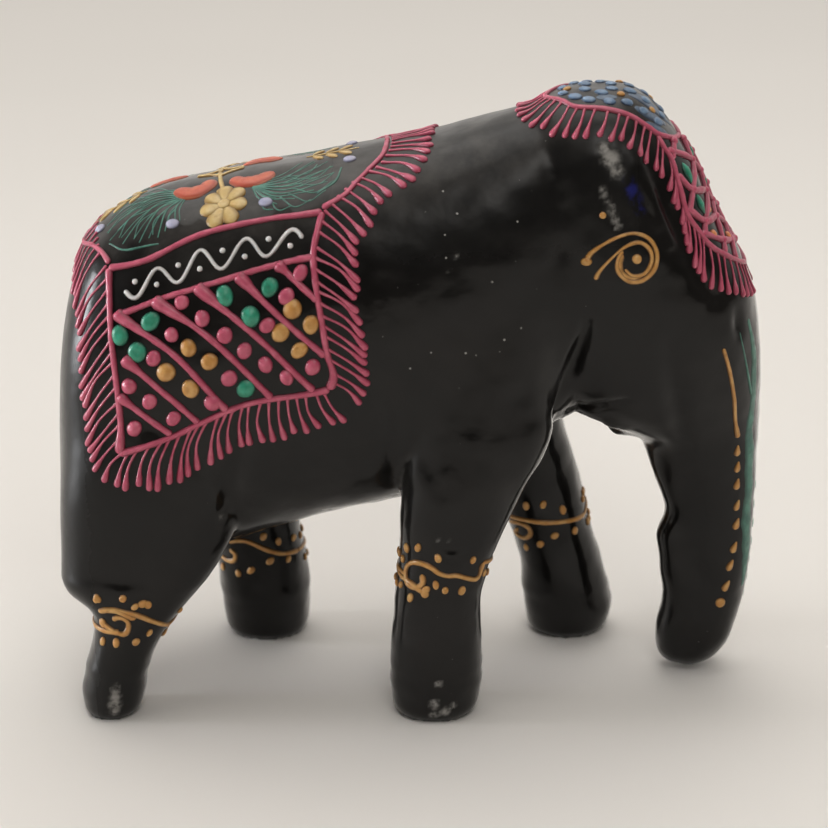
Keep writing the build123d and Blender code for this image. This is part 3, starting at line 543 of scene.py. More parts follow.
class Relief:
    """The beads of one ornament, gathered into one mesh."""

    def __init__(self, skin):
        self.skin = skin
        self.points = []
        self.faces = []
        self.crown = []

    def add(self, point, crown):
        self.points.append(point)
        self.crown.append(crown)
        return len(self.points) - 1

    def stations(self, trail, first, last):
        """Places along a trail: close together in the rounded ends, wider apart between them."""
        points = np.array(trail)
        run = run_along(points)
        total = run[-1]
        squeeze = min(1.0, 0.48 * total / max(first, last))
        head = [share * first * squeeze for share in END_SHARES]
        tail = [total - share * last * squeeze for share in reversed(END_SHARES)]
        between = max(1, round((tail[0] - head[-1]) / BEAD_STEP))
        marks = head + list(np.linspace(head[-1], tail[0], between + 1)[1:-1]) + tail
        places = np.stack([np.interp(marks, run, points[:, k]) for k in range(3)], 1)
        return marks, [self.skin.near(p)[0] for p in places]

    def bead(self, trail, widths, height=0.85):
        """A half-round bead along skin points; widths are half-widths at evenly shared stations."""
        lengths, trail = self.stations(trail, widths[0], widths[-1])
        count = len(trail)
        total = lengths[-1]
        seed = dice.uniform(0, 100)
        rings = []
        for k, (centre, run) in enumerate(zip(trail, lengths)):
            width = float(np.interp(run / total, np.linspace(0, 1, len(widths)), widths))
            width *= 1 + 0.16 * noise.noise(Vector((run * 0.9, seed, 0)))
            for gap in (run, total - run):
                if gap < width:
                    width *= math.sqrt(max(0.0, 1 - (1 - gap / width) ** 2)) * 0.97 + 0.03
            ahead = trail[min(k + 1, count - 1)] - trail[max(k - 1, 0)]
            up = self.skin.near(centre)[1]
            side = up.cross(ahead).normalized()
            ring = []
            for share in ACROSS:
                foot = self.skin.near(centre + side * (share * width))[0]
                rise = height * width * math.sqrt(1 - share * share) if abs(share) < 1 else -SINK
                ring.append(self.add(foot + up * rise, 1 - abs(share)))
            ring.append(self.add(centre - up * 3 * SINK, 0.0))
            rings.append(ring)
        size = len(ACROSS) + 1
        for low, high in zip(rings, rings[1:]):
            for j in range(size):
                n = (j + 1) % size
                self.faces.append((low[j], low[n], high[n], high[j]))
        self.faces.append(tuple(reversed(rings[0])))
        self.faces.append(tuple(rings[-1]))

    def dot(self, seat, radius, height, stretch=1.0, turn=0.0, nipple=0.0):
        """A domed dot with a slightly uneven outline and a dimple or a peak in the middle."""
        centre, up = seat
        east = up.cross(Vector((0.31, 0.2, 0.93))).normalized()
        north = up.cross(east)
        seed = dice.uniform(0, 100)
        top = self.add(centre + up * (height * (1 + nipple)), 1.0)
        rings = []
        for share in DOT_RINGS:
            ring = []
            for k in range(DOT_SEGMENTS):
                angle = 2 * math.pi * k / DOT_SEGMENTS
                ripple = 1 + 0.09 * noise.noise(Vector((math.cos(angle) * 0.8, math.sin(angle) * 0.8, seed)))
                u = math.cos(angle) * radius * share * stretch * ripple
                v = math.sin(angle) * radius * share / stretch * ripple
                flat = east * (u * math.cos(turn) - v * math.sin(turn)) \
                    + north * (u * math.sin(turn) + v * math.cos(turn))
                foot = self.skin.near(centre + flat)[0]
                rise = height * (1 - share ** 2.6) ** 0.62 if share < 1 else -SINK
                rise += height * nipple * math.exp(-(share / 0.3) ** 2) if share < 1 else 0
                ring.append(self.add(foot + up * rise, 1 - 0.9 * share ** 3))
            rings.append(ring)
        bottom = self.add(centre - up * 4 * SINK, 0.0)
        for k in range(DOT_SEGMENTS):
            n = (k + 1) % DOT_SEGMENTS
            self.faces.append((top, rings[0][k], rings[0][n]))
            for low, high in zip(rings, rings[1:]):
                self.faces.append((low[k], high[k], high[n], low[n]))
            self.faces.append((rings[-1][k], bottom, rings[-1][n]))

    def stroke(self, place, side, path, widths, height, spacing=0.3):
        """A bead under a drawn curve."""
        self.bead(self.skin.trail(place, side, path, spacing), widths, height)

    def line(self, place, side, path, width, height, start, end):
        """A piped line; start and end swell or thin its two ends."""
        widths = [width * start] + [width] * 6 + [width * end]
        self.stroke(place, side, path, widths, height, max(0.22, width * 0.7))

    def strand(self, start, end, bend, scale):
        """One fringe strand: joined to its border, thin in the middle, with a teardrop end."""
        across = (end - start).cross(self.skin.near((start + end) / 2)[1])
        middle = (start + end) / 2 + across * bend
        trail = [self.skin.near(p)[0] for p in resample([start, middle, end], 0.3)]
        widths = [w * scale for w in (0.36, 0.24, 0.2, 0.19, 0.2, 0.23, 0.3, 0.43, 0.54, 0.56)]
        self.bead(trail, widths, 0.9)

    def finish(self, name, slot, node=None):
        """Makes the piece, in place of the CAD node of the same name or of the one given, if there is one."""
        mesh = bpy.data.meshes.new(f"{name}_paint")
        mesh.from_pydata([tuple(p * MM) for p in self.points], [], self.faces)
        mesh.update()
        face_outwards(mesh)
        put_attribute(mesh, "crown", self.crown)
        smooth_shade(mesh)
        mesh.materials.append(PAINTS[slot])
        piece = link(mesh.name, mesh)
        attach(piece, "root")
        if (node or name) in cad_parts:
            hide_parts(node or name)


def face_outwards(mesh):
    """Turns every closed bead the right way out."""
    work = bmesh.new()
    work.from_mesh(mesh)
    bmesh.ops.recalc_face_normals(work, faces=work.faces)
    work.to_mesh(mesh)
    work.free()


# ---- Saddle cloth drawing -----------------------------------------------------------------------
BANNER_TOP = [(-40.2, 65.7), (-34.6, 67.3), (-27.2, 70.6), (-18.7, 72.5), (-10.8, 73.6)]
BANNER_LOW = [(-39.6, 59.6), (-33.3, 62.3), (-25.9, 64.7), (-17.4, 67.1), (-11.9, 68.3)]
REAR_BORDER = [(-40.2, 65.7), (-40.1, 60.4), (-39.9, 55.9), (-39.4, 49.8), (-39.1, 44.8), (-39.4, 40.8)]
BOTTOM_BORDER = [(-39.4, 40.8), (-35.3, 42.2), (-31.6, 43.5), (-28.3, 45.2), (-24.5, 47.0), (-21.6, 48.1),
                 (-17.9, 48.9), (-13.5, 49.5), (-10.2, 50.2)]
FRONT_BORDER = [(-10.8, 73.6), (-11.6, 70.8), (-12.0, 68.3), (-11.7, 64.6), (-11.0, 59.8), (-10.4, 55.4),
                (-9.6, 52.3), (-10.2, 50.2)]
FRONT_OVER_BACK = [(-10.8, 11.6), (-7.7, 10.4), (-4.9, 7.6), (-2.8, 4.4), (-2.3, 0.0)]
REAR_OVER_BACK = [(-40.2, 10.8), (-42.6, 7.0), (-44.6, 3.0), (-45.0, 0.0)]
LATTICE = [
    [(-38.6, 59.8), (-31.0, 54.9), (-24.3, 47.2)],
    [(-33.3, 62.0), (-26.0, 57.3), (-18.1, 49.0)],
    [(-27.4, 63.9), (-20.5, 58.3), (-12.3, 50.0)],
    [(-21.8, 65.4), (-15.6, 59.4), (-10.6, 55.0)],
    [(-16.5, 67.0), (-11.5, 62.6)],
    [(-37.8, 53.9), (-31.9, 48.8), (-28.3, 45.4)],
    [(-39.0, 48.8), (-35.2, 45.9), (-32.1, 43.6)],
]
LATTICE_WIDTHS = [1.0, 1.05, 1.0, 0.88, 0.75, 0.63, 0.56] + [0.51] * 16 + [0.58, 0.72]
DOTS_GREEN = [(-34.4, 59.5), (-38.7, 57.3), (-36.3, 55.2), (-24.1, 63.2), (-20.6, 60.5), (-18.0, 64.3),
              (-21.6, 50.4)]
DOTS_GOLD = [(-29.2, 56.1), (-26.4, 54.3), (-32.4, 52.7), (-29.2, 50.4), (-16.6, 58.3), (-14.1, 55.9),
             (-14.9, 61.5), (-12.5, 59.4)]
DOTS_PINK = [(-30.0, 62.2), (-31.5, 57.8), (-34.1, 54.5), (-27.2, 60.1), (-24.2, 57.9), (-21.6, 55.8),
             (-18.8, 53.8), (-16.0, 52.0), (-23.8, 51.9), (-26.2, 48.4), (-37.7, 50.4), (-34.9, 48.4),
             (-31.7, 46.0), (-37.2, 44.5), (-13.8, 66.2), (-15.7, 63.2), (-18.4, 59.3), (-12.4, 53.5)]
# Fringes: key strands from border to tip; the strands between are blended. Two numbers are (x, z) on
# the flank, three are (x, |y|, z) in space.
FRONT_STRANDS, BOTTOM_STRANDS, REAR_STRANDS = 29, 23, 21     # on each side
FRONT_FRINGE = [
    ((-2.3, 0.0, 83.0), (4.2, 0.0, 82.0)), ((-2.5, 3.5, 82.6), (4.3, 6.0, 80.4)),
    ((-3.6, 7.6, 81.0), (2.4, 9.8, 77.8)), ((-7.7, 10.4, 78.5), (-3.0, 12.4, 74.4)),
    ((-10.8, 73.6), (-5.8, 15.2, 69.4)), ((-12.0, 67.3), (-6.1, 63.2)), ((-11.4, 61.9), (-5.3, 57.0)),
    ((-10.7, 56.0), (-4.3, 51.6)), ((-9.8, 52.8), (-5.0, 49.2)), ((-10.0, 50.6), (-6.2, 46.9)),
]
BOTTOM_FRINGE = [
    ((-39.3, 41.0), (-42.8, 37.0)), ((-38.4, 41.2), (-40.4, 35.9)), ((-31.9, 43.4), (-33.8, 35.8)),
    ((-26.6, 46.0), (-28.3, 38.2)), ((-21.6, 48.1), (-21.8, 41.8)), ((-16.2, 49.1), (-15.4, 43.2)),
    ((-10.5, 50.1), (-7.4, 45.7)),
]
REAR_FRINGE = [
    ((-44.8, 1.0, 72.0), (-48.6, 1.2, 64.0)), ((-42.6, 7.0, 68.8), (-46.0, 8.6, 60.6)),
    ((-40.2, 65.5), (-44.5, 10.8, 58.0)), ((-40.1, 60.5), (-44.5, 12.5, 53.4)),
    ((-39.5, 53.2), (-44.2, 14.4, 45.8)), ((-39.2, 46.6), (-43.8, 15.6, 40.4)),
    ((-39.4, 41.8), (-43.2, 16.7, 37.0)),
]


def fringe(relief, side, keys, count, bend, scale=1.0):
    """Strands spread evenly along a fringe, blended between its key strands."""
    skin = relief.skin
    starts = [np.array(skin.spot(side, start)) for start, _ in keys]
    ends = [np.array(skin.spot(side, end)) for _, end in keys]
    middles = [(a + b) / 2 for a, b in zip(starts, ends)]
    run = run_along(middles)
    for k in range(count):
        place = (k + 0.5 + dice.uniform(-0.16, 0.16)) / count * run[-1]
        start = Vector([np.interp(place, run, [p[axis] for p in starts]) for axis in range(3)])
        end = Vector([np.interp(place, run, [p[axis] for p in ends]) for axis in range(3)])
        end = end + (end - start) * dice.uniform(-0.07, 0.06)
        relief.strand(start, end, side * (bend + dice.uniform(-0.04, 0.04)), scale)


def saddle_cloth(skin):
    relief = Relief(skin)
    for side in BOTH:
        for path in (BANNER_TOP, BANNER_LOW, BOTTOM_BORDER):
            relief.line(skin.flank, side, path, 0.46, 0.8, 1.3, 1.3)
        for path in (REAR_BORDER, FRONT_BORDER):
            relief.line(skin.flank, side, path, 0.48, 0.8, 1.2, 1.7)
        for path in (FRONT_OVER_BACK, REAR_OVER_BACK):
            relief.line(skin.back, side, path, 0.4, 0.8, 1.2, 1.0)
    relief.finish("saddle_border", "paint_pink")

    relief = Relief(skin)
    for side in BOTH:
        for path in LATTICE:
            # The slanting lines start a little outside the border, where the nozzle was set down.
            (x, z), (next_x, next_z) = path[:2]
            step = 0.35 / math.hypot(next_x - x, next_z - z)
            lead = (x + (x - next_x) * step, z + (z - next_z) * step)
            relief.stroke(skin.flank, side, [lead] + path, LATTICE_WIDTHS, 0.75)
    relief.finish("saddle_lattice", "paint_pink")

    relief = Relief(skin)
    for side in BOTH:
        fringe(relief, side, FRONT_FRINGE, FRONT_STRANDS, 0.06)
        fringe(relief, side, BOTTOM_FRINGE, BOTTOM_STRANDS, -0.08)
        fringe(relief, side, REAR_FRINGE, REAR_STRANDS, -0.05, 0.9)
    relief.finish("saddle_fringe", "paint_pink")

    for name, table, size in (("pink", DOTS_PINK, 1.14), ("green", DOTS_GREEN, 1.38),
                              ("gold", DOTS_GOLD, 1.34)):
        relief = Relief(skin)
        for side in BOTH:
            for x, z in table:
                radius = size * dice.uniform(0.92, 1.08)
                relief.dot(skin.flank(side, x, z), radius, 0.6, dice.uniform(1.02, 1.14),
                           math.pi / 2 + dice.uniform(-0.5, 0.7), dice.choice((-0.34, -0.26, -0.2, 0.2, 0.3)))
        relief.finish(f"saddle_dots_{name}", f"paint_{name}")


# ---- Banner: a plain running wave with dots -----------------------------------------------------
WAVES = 4.0
WAVE_REACH = 0.24


def banner_mark(share, across):
    """A place in the banner: share of the way along it, and across from its top edge to its lower one."""
    top, low = at_share(BANNER_TOP, share), at_share(BANNER_LOW, share)
    return top + (low - top) * across


def banner(skin):
    wave = []
    for k in range(49):
        share = 0.07 + 0.86 * k / 48
        wave.append(banner_mark(share, 0.52 + WAVE_REACH * math.sin(2 * math.pi * WAVES * k / 48)))
    dots = []
    for k in range(round(2 * WAVES)):
        share = 0.07 + 0.86 * (k + 0.5) / (2 * WAVES)
        dots.append(banner_mark(share, 0.4 if k % 2 == 0 else 0.64))
    relief = Relief(skin)
    for side in BOTH:
        relief.line(skin.flank, side, wave, 0.3, 0.8, 1.3, 1.3)
        for x, z in dots:
            relief.dot(skin.flank(side, x, z), 0.42, 0.34)
    relief.finish("banner_scroll", "paint_white")


# ---- Flowers and sprays on the back -------------------------------------------------------------
FLOWER = (-24.4, 8.5)
PETALS = 7
STEM = [[(-24.4, 7.0), (-25.2, 3.6), (-25.6, 0.1)], [(-25.4, 1.6), (-26.8, 0.5), (-28.8, 0.1)],
        [(-25.4, 1.6), (-24.0, 0.6), (-22.2, 0.2)]]
RED_NEAR = [[(-31.6, 3.4), (-29.4, 5.0), (-27.1, 4.3), (-26.9, 2.4)],
            [(-23.6, 3.4), (-22.2, 5.0), (-19.8, 5.2), (-17.8, 3.9)]]
RED_FAR = [[(-35.6, 1.4), (-33.4, 3.0), (-30.4, 3.2)], [(-22.4, 1.0), (-20.2, 2.2), (-17.0, 1.6)]]
LEFT_HUB = (-29.8, 5.4)
LEFT_PLUMES = [(-36.6, 2.2), (-39.4, 2.9), (-40.8, 4.4), (-41.0, 6.2), (-40.4, 8.0), (-38.4, 9.6),
               (-36.0, 10.5), (-33.4, 10.6), (-31.0, 10.0)]
RIGHT_HUB = (-20.6, 6.6)
RIGHT_PLUMES = [(-17.0, 10.2), (-14.6, 10.0), (-12.0, 9.2), (-10.2, 8.0), (-9.4, 6.4), (-9.6, 4.8),
                (-10.4, 3.2), (-12.4, 2.4)]
PLUME_ARCS = [[(-40.4, 8.4), (-37.8, 10.6), (-33.2, 11.3)], [(-11.6, 9.8), (-9.2, 8.2), (-8.4, 5.6)]]
DOTS_LILAC = [(-42.2, 4.0), (-31.4, 9.6), (-18.6, 9.6), (-7.4, 3.6)]
GOLD_LEAVES = [[(-36.8, 0.5), (-38.2, 2.0)], [(-38.8, 0.5), (-40.4, 2.2)], [(-40.8, 0.5), (-42.4, 2.0)],
               [(-12.6, 0.5), (-11.2, 2.0)], [(-10.8, 0.5), (-9.2, 2.2)], [(-9.0, 0.5), (-7.2, 1.8)]]
GOLD_SPINES = [[(-35.8, 0.0), (-39.6, 0.3), (-43.4, 0.0)], [(-13.6, 0.0), (-10.0, 0.3), (-6.2, 0.0)]]


def plume(relief, side, hub, tip, curl):
    """A feathery stroke from the hub of a spray, with a short barb near its tip."""
    hub, tip = np.array(hub), np.array(tip)
    way = tip - hub
    across = np.array([-way[1], way[0]])
    middle = [hub, hub + way * 0.45 + across * curl, tip]
    relief.stroke(relief.skin.back, side, middle, [0.2, 0.17, 0.15, 0.13, 0.1], 0.45, 0.35)
    inner = [hub + way * 0.1, hub + way * 0.5 + across * (curl - 0.12), hub + way * 0.86 - across * 0.09]
    relief.stroke(relief.skin.back, side, inner, [0.14, 0.12, 0.11, 0.09], 0.4, 0.35)
    barb = [hub + way * 0.5 + across * curl, hub + way * 0.78 + across * (curl + 0.12), tip + across * 0.14]
    relief.stroke(relief.skin.back, side, barb, [0.14, 0.12, 0.1], 0.45, 0.35)


def back_panel(skin):
    gold, red, rim, green, lilac = (Relief(skin) for _ in range(5))
    for side in BOTH:
        x, y = FLOWER
        gold.dot(skin.back(side, x, y), 1.0, 0.34, nipple=-0.2)
        for k in range(PETALS):
            turn = 2 * math.pi * (k + 0.25) / PETALS
            path = [(x + r * math.cos(turn), y + r * math.sin(turn)) for r in (0.6, 1.9, 3.3)]
            gold.stroke(skin.back, side, path, [0.6, 1.0, 1.3, 1.4, 1.2], 0.24)
        for path in STEM:
            gold.line(skin.back, side, path, 0.36, 0.6, 1.6, 1.2)
        for path in GOLD_LEAVES:
            gold.stroke(skin.back, side, path, [0.3, 0.48, 0.62, 0.4], 0.4)
        for path in RED_NEAR if side == RIGHT else RED_FAR:
            rim.stroke(skin.back, side, path, [1.1, 1.4, 1.5, 1.45, 1.1], 0.16)
            red.stroke(skin.back, side, path, [0.9, 1.2, 1.32, 1.25, 0.9], 0.27)
        for hub, tips in ((LEFT_HUB, LEFT_PLUMES), (RIGHT_HUB, RIGHT_PLUMES)):
            for tip in tips:
                plume(green, side, hub, tip, 0.16)
        for path in PLUME_ARCS:
            green.stroke(skin.back, side, path, [0.12, 0.22, 0.14], 0.45, 0.35)
        for place in DOTS_LILAC:
            lilac.dot(skin.back(side, *place), 0.92, 0.36, 1.12, 0.4, 0.12)
    for path in GOLD_SPINES:
        gold.stroke(skin.back, RIGHT, path, [0.16, 0.24, 0.28, 0.24, 0.16], 0.6)
    gold.finish("back_flowers_gold", "paint_pale_gold")
    red.finish("back_petals_red", "paint_red")
    rim.finish("back_petals_rim", "paint_orange")
    green.finish("back_sprays_green", "paint_teal")
    lilac.finish("back_dots_lilac", "paint_lilac")


# ---- Head cloth ---------------------------------------------------------------------------------
# Borders and net of the head cloth are marks in space, (x, |y|, z).
CAP_EDGE = [(19.2, 0.0, 86.4), (19.8, 1.4, 86.5), (21.4, 3.6, 86.6), (23.4, 5.8, 86.2), (26.9, 6.4, 86.0),
            (30.6, 6.5, 85.0), (33.0, 6.3, 83.6), (34.4, 6.1, 82.4), (35.6, 5.1, 81.7), (37.0, 3.0, 81.0),
            (37.8, 0.0, 80.6)]
BROW_EDGE = [(34.4, 6.3, 82.2), (35.2, 6.7, 80.7), (36.2, 6.9, 79.2), (37.1, 7.9, 76.2), (38.3, 8.8, 72.1),
             (40.0, 8.6, 69.2), (41.7, 8.2, 67.0), (43.9, 6.6, 65.2), (46.0, 3.4, 63.2), (47.2, 0.0, 62.2)]
HEAD_STRANDS = 35                                            # on each side
HEAD_FRINGE = [
    ((19.2, 0.0, 86.3), (14.8, 0.0, 84.8)), ((19.8, 1.2, 86.4), (15.6, 2.6, 84.4)),
    ((20.6, 2.8, 86.6), (16.9, 5.4, 83.7)), ((22.4, 4.8, 86.4), (19.6, 7.9, 82.8)),
    ((24.6, 6.1, 86.1), (23.0, 9.2, 82.8)), ((28.0, 6.4, 85.8), (26.6, 9.3, 82.7)),
    ((31.0, 6.5, 84.8), (29.8, 9.4, 81.8)), ((33.4, 6.2, 83.2), (32.6, 9.5, 79.5)),
    ((34.8, 6.5, 81.6), (34.6, 9.4, 77.4)), ((36.2, 6.9, 79.2), (36.3, 9.4, 74.4)),
    ((37.2, 8.0, 75.8), (37.8, 9.7, 71.0)), ((38.3, 8.8, 72.0), (38.8, 10.6, 66.6)),
    ((40.0, 8.6, 69.2), (40.4, 10.8, 63.2)), ((41.8, 8.2, 67.0), (42.4, 10.0, 60.9)),
    ((43.9, 6.6, 65.2), (44.8, 8.3, 60.2)), ((45.6, 4.0, 63.6), (46.6, 5.8, 59.0)),
    ((47.0, 1.2, 62.2), (48.2, 1.8, 58.0)),
]
NET_KNOTS = [(36.8, 4.3, 80.9), (39.2, 2.2, 77.5), (39.0, 6.4, 74.5), (41.4, 1.8, 73.1), (40.8, 6.6, 70.1),
             (42.7, 2.6, 69.6), (43.6, 5.2, 67.0), (45.6, 0.0, 65.6), (38.0, 0.0, 79.8), (40.4, 0.0, 75.4),
             (42.4, 0.0, 71.2)]
NET = [[(35.8, 6.6, 80.2), (39.2, 2.2, 77.5), (40.4, 0.0, 75.4)],
       [(37.0, 7.4, 77.0), (39.0, 6.4, 74.5), (41.4, 1.8, 73.1), (42.4, 0.0, 71.2)],
       [(38.2, 8.6, 72.6), (40.8, 6.6, 70.1), (42.7, 2.6, 69.6), (44.2, 0.0, 68.0)],
       [(40.2, 8.4, 69.0), (43.6, 5.2, 67.0), (45.6, 0.0, 65.6)],
       [(38.0, 0.0, 79.8), (39.2, 2.2, 77.5), (39.0, 6.4, 74.5), (38.4, 8.6, 71.8)],
       [(40.4, 0.0, 75.4), (41.4, 1.8, 73.1), (40.8, 6.6, 70.1), (40.8, 8.4, 68.4)],
       [(42.4, 0.0, 71.2), (42.7, 2.6, 69.6), (43.6, 5.2, 67.0), (43.6, 6.8, 65.4)],
       [(44.2, 0.0, 68.0), (45.2, 2.2, 66.2), (45.4, 4.6, 64.0)],
       [(36.8, 4.3, 80.9), (36.4, 6.7, 79.0)]]
CAP_DOTS = [(21.8, 1.4), (23.4, 3.4), (25.2, 4.6), (24.8, 1.4), (27.0, 2.9), (28.0, 5.0), (28.4, 1.2),
            (30.4, 4.6), (30.9, 1.4), (32.6, 4.6), (33.0, 1.8), (34.6, 4.2), (35.2, 1.4)]
CAP_GOLD = [(29.6, 3.0), (22.4, 0.0), (33.8, 3.0)]
CAP_WASH = [[(30.4, 2.4, 86.2), (33.0, 2.2, 84.8), (36.0, 1.4, 82.6)],
            [(32.4, 5.8, 83.6), (34.2, 5.2, 82.4), (35.8, 4.2, 81.2)],
            [(31.0, 4.6, 85.2), (33.4, 4.0, 84.0), (35.6, 2.8, 82.6)], [(26.2, 4.2, 86.8), (29.0, 3.8, 86.6)],
            [(31.4, 1.6, 86.4), (34.2, 1.4, 84.8), (36.6, 1.0, 82.2)]]
LEAVES = [[(38.0, 5.6, 78.2), (38.7, 5.7, 76.4), (39.0, 6.0, 75.2)],
          [(39.7, 6.2, 73.8), (40.4, 6.1, 72.2), (40.8, 6.0, 70.9)],
          [(38.8, 0.9, 78.8), (39.6, 0.8, 77.2)], [(41.0, 0.7, 74.6), (41.8, 0.7, 73.0)]]
SPARKS = [(42.2, 6.7, 68.3), (44.6, 2.4, 66.8), (41.8, 4.4, 71.4)]


def head_cloth(skin):
    border, net, tassels, blue, wash, gold, green, orange = (Relief(skin) for _ in range(8))
    for side in BOTH:
        border.stroke(skin.space, side, CAP_EDGE, [0.4, 0.44, 0.48, 0.44, 0.42], 0.8)
        border.stroke(skin.space, side, BROW_EDGE, [0.44, 0.5, 0.46, 0.5, 0.46], 0.8)
        for marks in NET:
            net.stroke(skin.space, side, marks, [0.62, 0.5, 0.6, 0.5, 0.62], 0.8)
        for x, y, z in NET_KNOTS:
            if y > 0 or side == RIGHT:
                net.dot(skin.space(side, x, y, z), 0.72, 0.62, 1.1, 0.3, 0.1)
        fringe(tassels, side, HEAD_FRINGE, HEAD_STRANDS, 0.02, 0.92)
        for place in CAP_DOTS:
            blue.dot(skin.back(side, *place), 0.92 * dice.uniform(0.85, 1.1), 0.34, 1.15, 0.2, -0.1)
        for place in CAP_GOLD:
            gold.dot(skin.back(side, *place), 0.6, 0.36)
        for marks in CAP_WASH:
            wash.stroke(skin.space, side, marks, [0.5, 0.9, 1.0, 0.8, 0.4], 0.1)
        for marks in LEAVES:
            green.stroke(skin.space, side, marks, [0.3, 0.7, 0.85, 0.6, 0.25], 0.5)
        for x, y, z in SPARKS:
            orange.dot(skin.space(side, x, y, z), 0.7, 0.4)
    border.finish("head_cloth_border", "paint_pink")
    net.finish("head_cloth_net", "paint_pink", "head_cloth_lattice")
    tassels.finish("head_cloth_fringe", "paint_pink")
    blue.finish("head_cap_dots_blue", "paint_blue")
    wash.finish("head_cap_wash", "paint_blue_wash")
    gold.finish("head_cap_dots_gold", "paint_gold")
    green.finish("head_cloth_leaves", "paint_green", "head_cloth_leaves_green")
    orange.finish("head_cloth_sparks", "paint_orange")


# ---- Eyes and trunk -----------------------------------------------------------------------------
EYE = (31.5, 67.0)
EYE_OUTER = [(24.7, 66.5), (25.3, 67.7), (26.9, 68.9), (29.0, 70.0), (31.2, 70.4), (33.2, 69.5), (34.2, 67.5),
             (33.8, 65.4), (32.2, 64.0), (30.3, 64.0), (29.0, 65.3), (28.9, 66.8), (29.6, 68.1)]
EYE_INNER = [(25.9, 64.0), (26.6, 65.4), (28.2, 67.2), (30.0, 68.7), (31.8, 69.2), (33.2, 68.2), (33.5, 66.6),
             (32.6, 65.0), (31.0, 64.7), (29.9, 65.6)]
EYE_WASH = [(29.6, 67.6), (29.1, 66.2), (29.4, 65.0), (30.7, 64.3), (32.2, 64.6)]
TRUNK_LINE = [(43.6, 53.0), (44.6, 49.4), (45.4, 45.0), (45.7, 41.5), (46.2, 38.4)]
TRUNK_DROPS = [(46.2, 36.2), (46.3, 33.6), (46.3, 30.9), (46.4, 27.5), (46.4, 24.5), (46.1, 20.9),
               (45.6, 18.1), (45.1, 14.8), (44.4, 12.3)]
TRUNK_GREEN_LINE = [(46.0, 54.6), (47.0, 50.0), (48.0, 44.6)]
TRUNK_GREEN_WASH = [(6.6, 56.0), (5.6, 50.0), (5.2, 44.0), (4.8, 38.0), (4.4, 30.0), (4.0, 22.0), (3.2, 14.0)]
TRUNK_GREEN = [28.6, 25.6, 22.6, 19.8, 17.0, 14.2, 11.6]


def face_and_trunk(skin):
    for side, name in ((RIGHT, "right"), (LEFT, "left")):
        relief = Relief(skin)
        for path, width in ((EYE_OUTER, 0.32), (EYE_INNER, 0.27)):
            widths = [width * w for w in (1.5, 0.9, 0.8, 1.1, 1.3, 1.3, 1.1, 0.8)]
            relief.stroke(skin.flank, side, path, widths, 0.6, 0.25)
        relief.stroke(skin.flank, side, EYE_WASH, [0.3, 0.55, 0.6, 0.45, 0.2], 0.2, 0.25)
        relief.dot(skin.flank(side, *EYE), 0.72, 0.42)
        relief.dot(skin.flank(side, *EYE_OUTER[0]), 0.72, 0.42, 1.15, 0.4)
        relief.dot(skin.flank(side, 26.9, 72.9), 0.5, 0.3)
        relief.finish(f"eye_{name}", "paint_gold")

    lines, drops, green, wash = (Relief(skin) for _ in range(4))
    for side in BOTH:
        lines.line(skin.flank, side, TRUNK_LINE, 0.34, 0.8, 1.0, 1.5)
        for k, (x, z) in enumerate(TRUNK_DROPS):
            lean = 0.1 + 0.07 * k
            path = [(x + 0.9 * lean, z + 1.0), (x, z), (x - 0.5 * lean, z - 0.7)]
            if k < len(TRUNK_DROPS) - 1:
                drops.stroke(skin.flank, side, path, [0.16, 0.34, 0.5, 0.58, 0.58], 0.6, 0.22)
            else:
                drops.dot(skin.flank(side, x, z), 0.78, 0.4)
        wash.stroke(skin.flank, side, TRUNK_GREEN_LINE, [0.1, 0.2, 0.3, 0.34], 0.4)
        wash.stroke(skin.brow, side, TRUNK_GREEN_WASH, [0.4, 1.0, 0.9, 1.3, 1.1, 1.3, 0.6], 0.1, 0.4)
    for z in TRUNK_GREEN:
        green.dot(skin.brow(RIGHT, 0.0, z), 0.85, 0.12, 1.15)
    lines.finish("trunk_lines_gold", "paint_gold")
    drops.finish("trunk_drops_gold", "paint_gold")
    green.finish("trunk_dots_green", "paint_green")
    wash.finish("trunk_green_wash", "paint_teal")


# ---- Anklets ------------------------------------------------------------------------------------
# Drawn on the right foreleg and right hind leg outside, on the left ones inside, and shifted to the others.
FORE_OUTSIDE = {
    "lines": [
        [(1.4, 22.9), (1.5, 21.7), (0.8, 21.0), (-0.1, 20.8), (-0.8, 21.3), (-0.9, 22.8), (-0.4, 23.9),
         (0.6, 24.5), (1.9, 24.4), (2.9, 23.9), (3.8, 23.2), (5.0, 22.8), (6.2, 22.8), (7.7, 22.1),
         (8.7, 21.6), (9.3, 21.9), (9.6, 23.0), (9.9, 24.0)],
    ],
    "dots": [(-0.7, 26.1), (0.9, 26.7), (3.7, 25.5), (8.5, 24.9), (-0.3, 19.2), (1.75, 20.2), (3.3, 21.5),
             (4.6, 20.7), (6.9, 20.4)],
}
HIND_OUTSIDE = {
    "lines": [
        [(-43.2, 17.5), (-42.1, 17.8), (-40.7, 17.9), (-38.0, 17.1), (-35.4, 15.5), (-34.2, 14.3)],
        [(-43.6, 15.9), (-42.3, 15.0), (-41.1, 14.4), (-40.1, 14.2), (-39.5, 14.9), (-39.4, 16.0),
         (-40.1, 16.7), (-41.1, 16.7), (-41.5, 16.2)],
    ],
    "dots": [(-39.9, 19.8), (-36.5, 18.7), (-37.2, 18.9), (-43.3, 12.6), (-41.3, 12.8), (-38.5, 12.9),
             (-36.6, 14.1)],
}
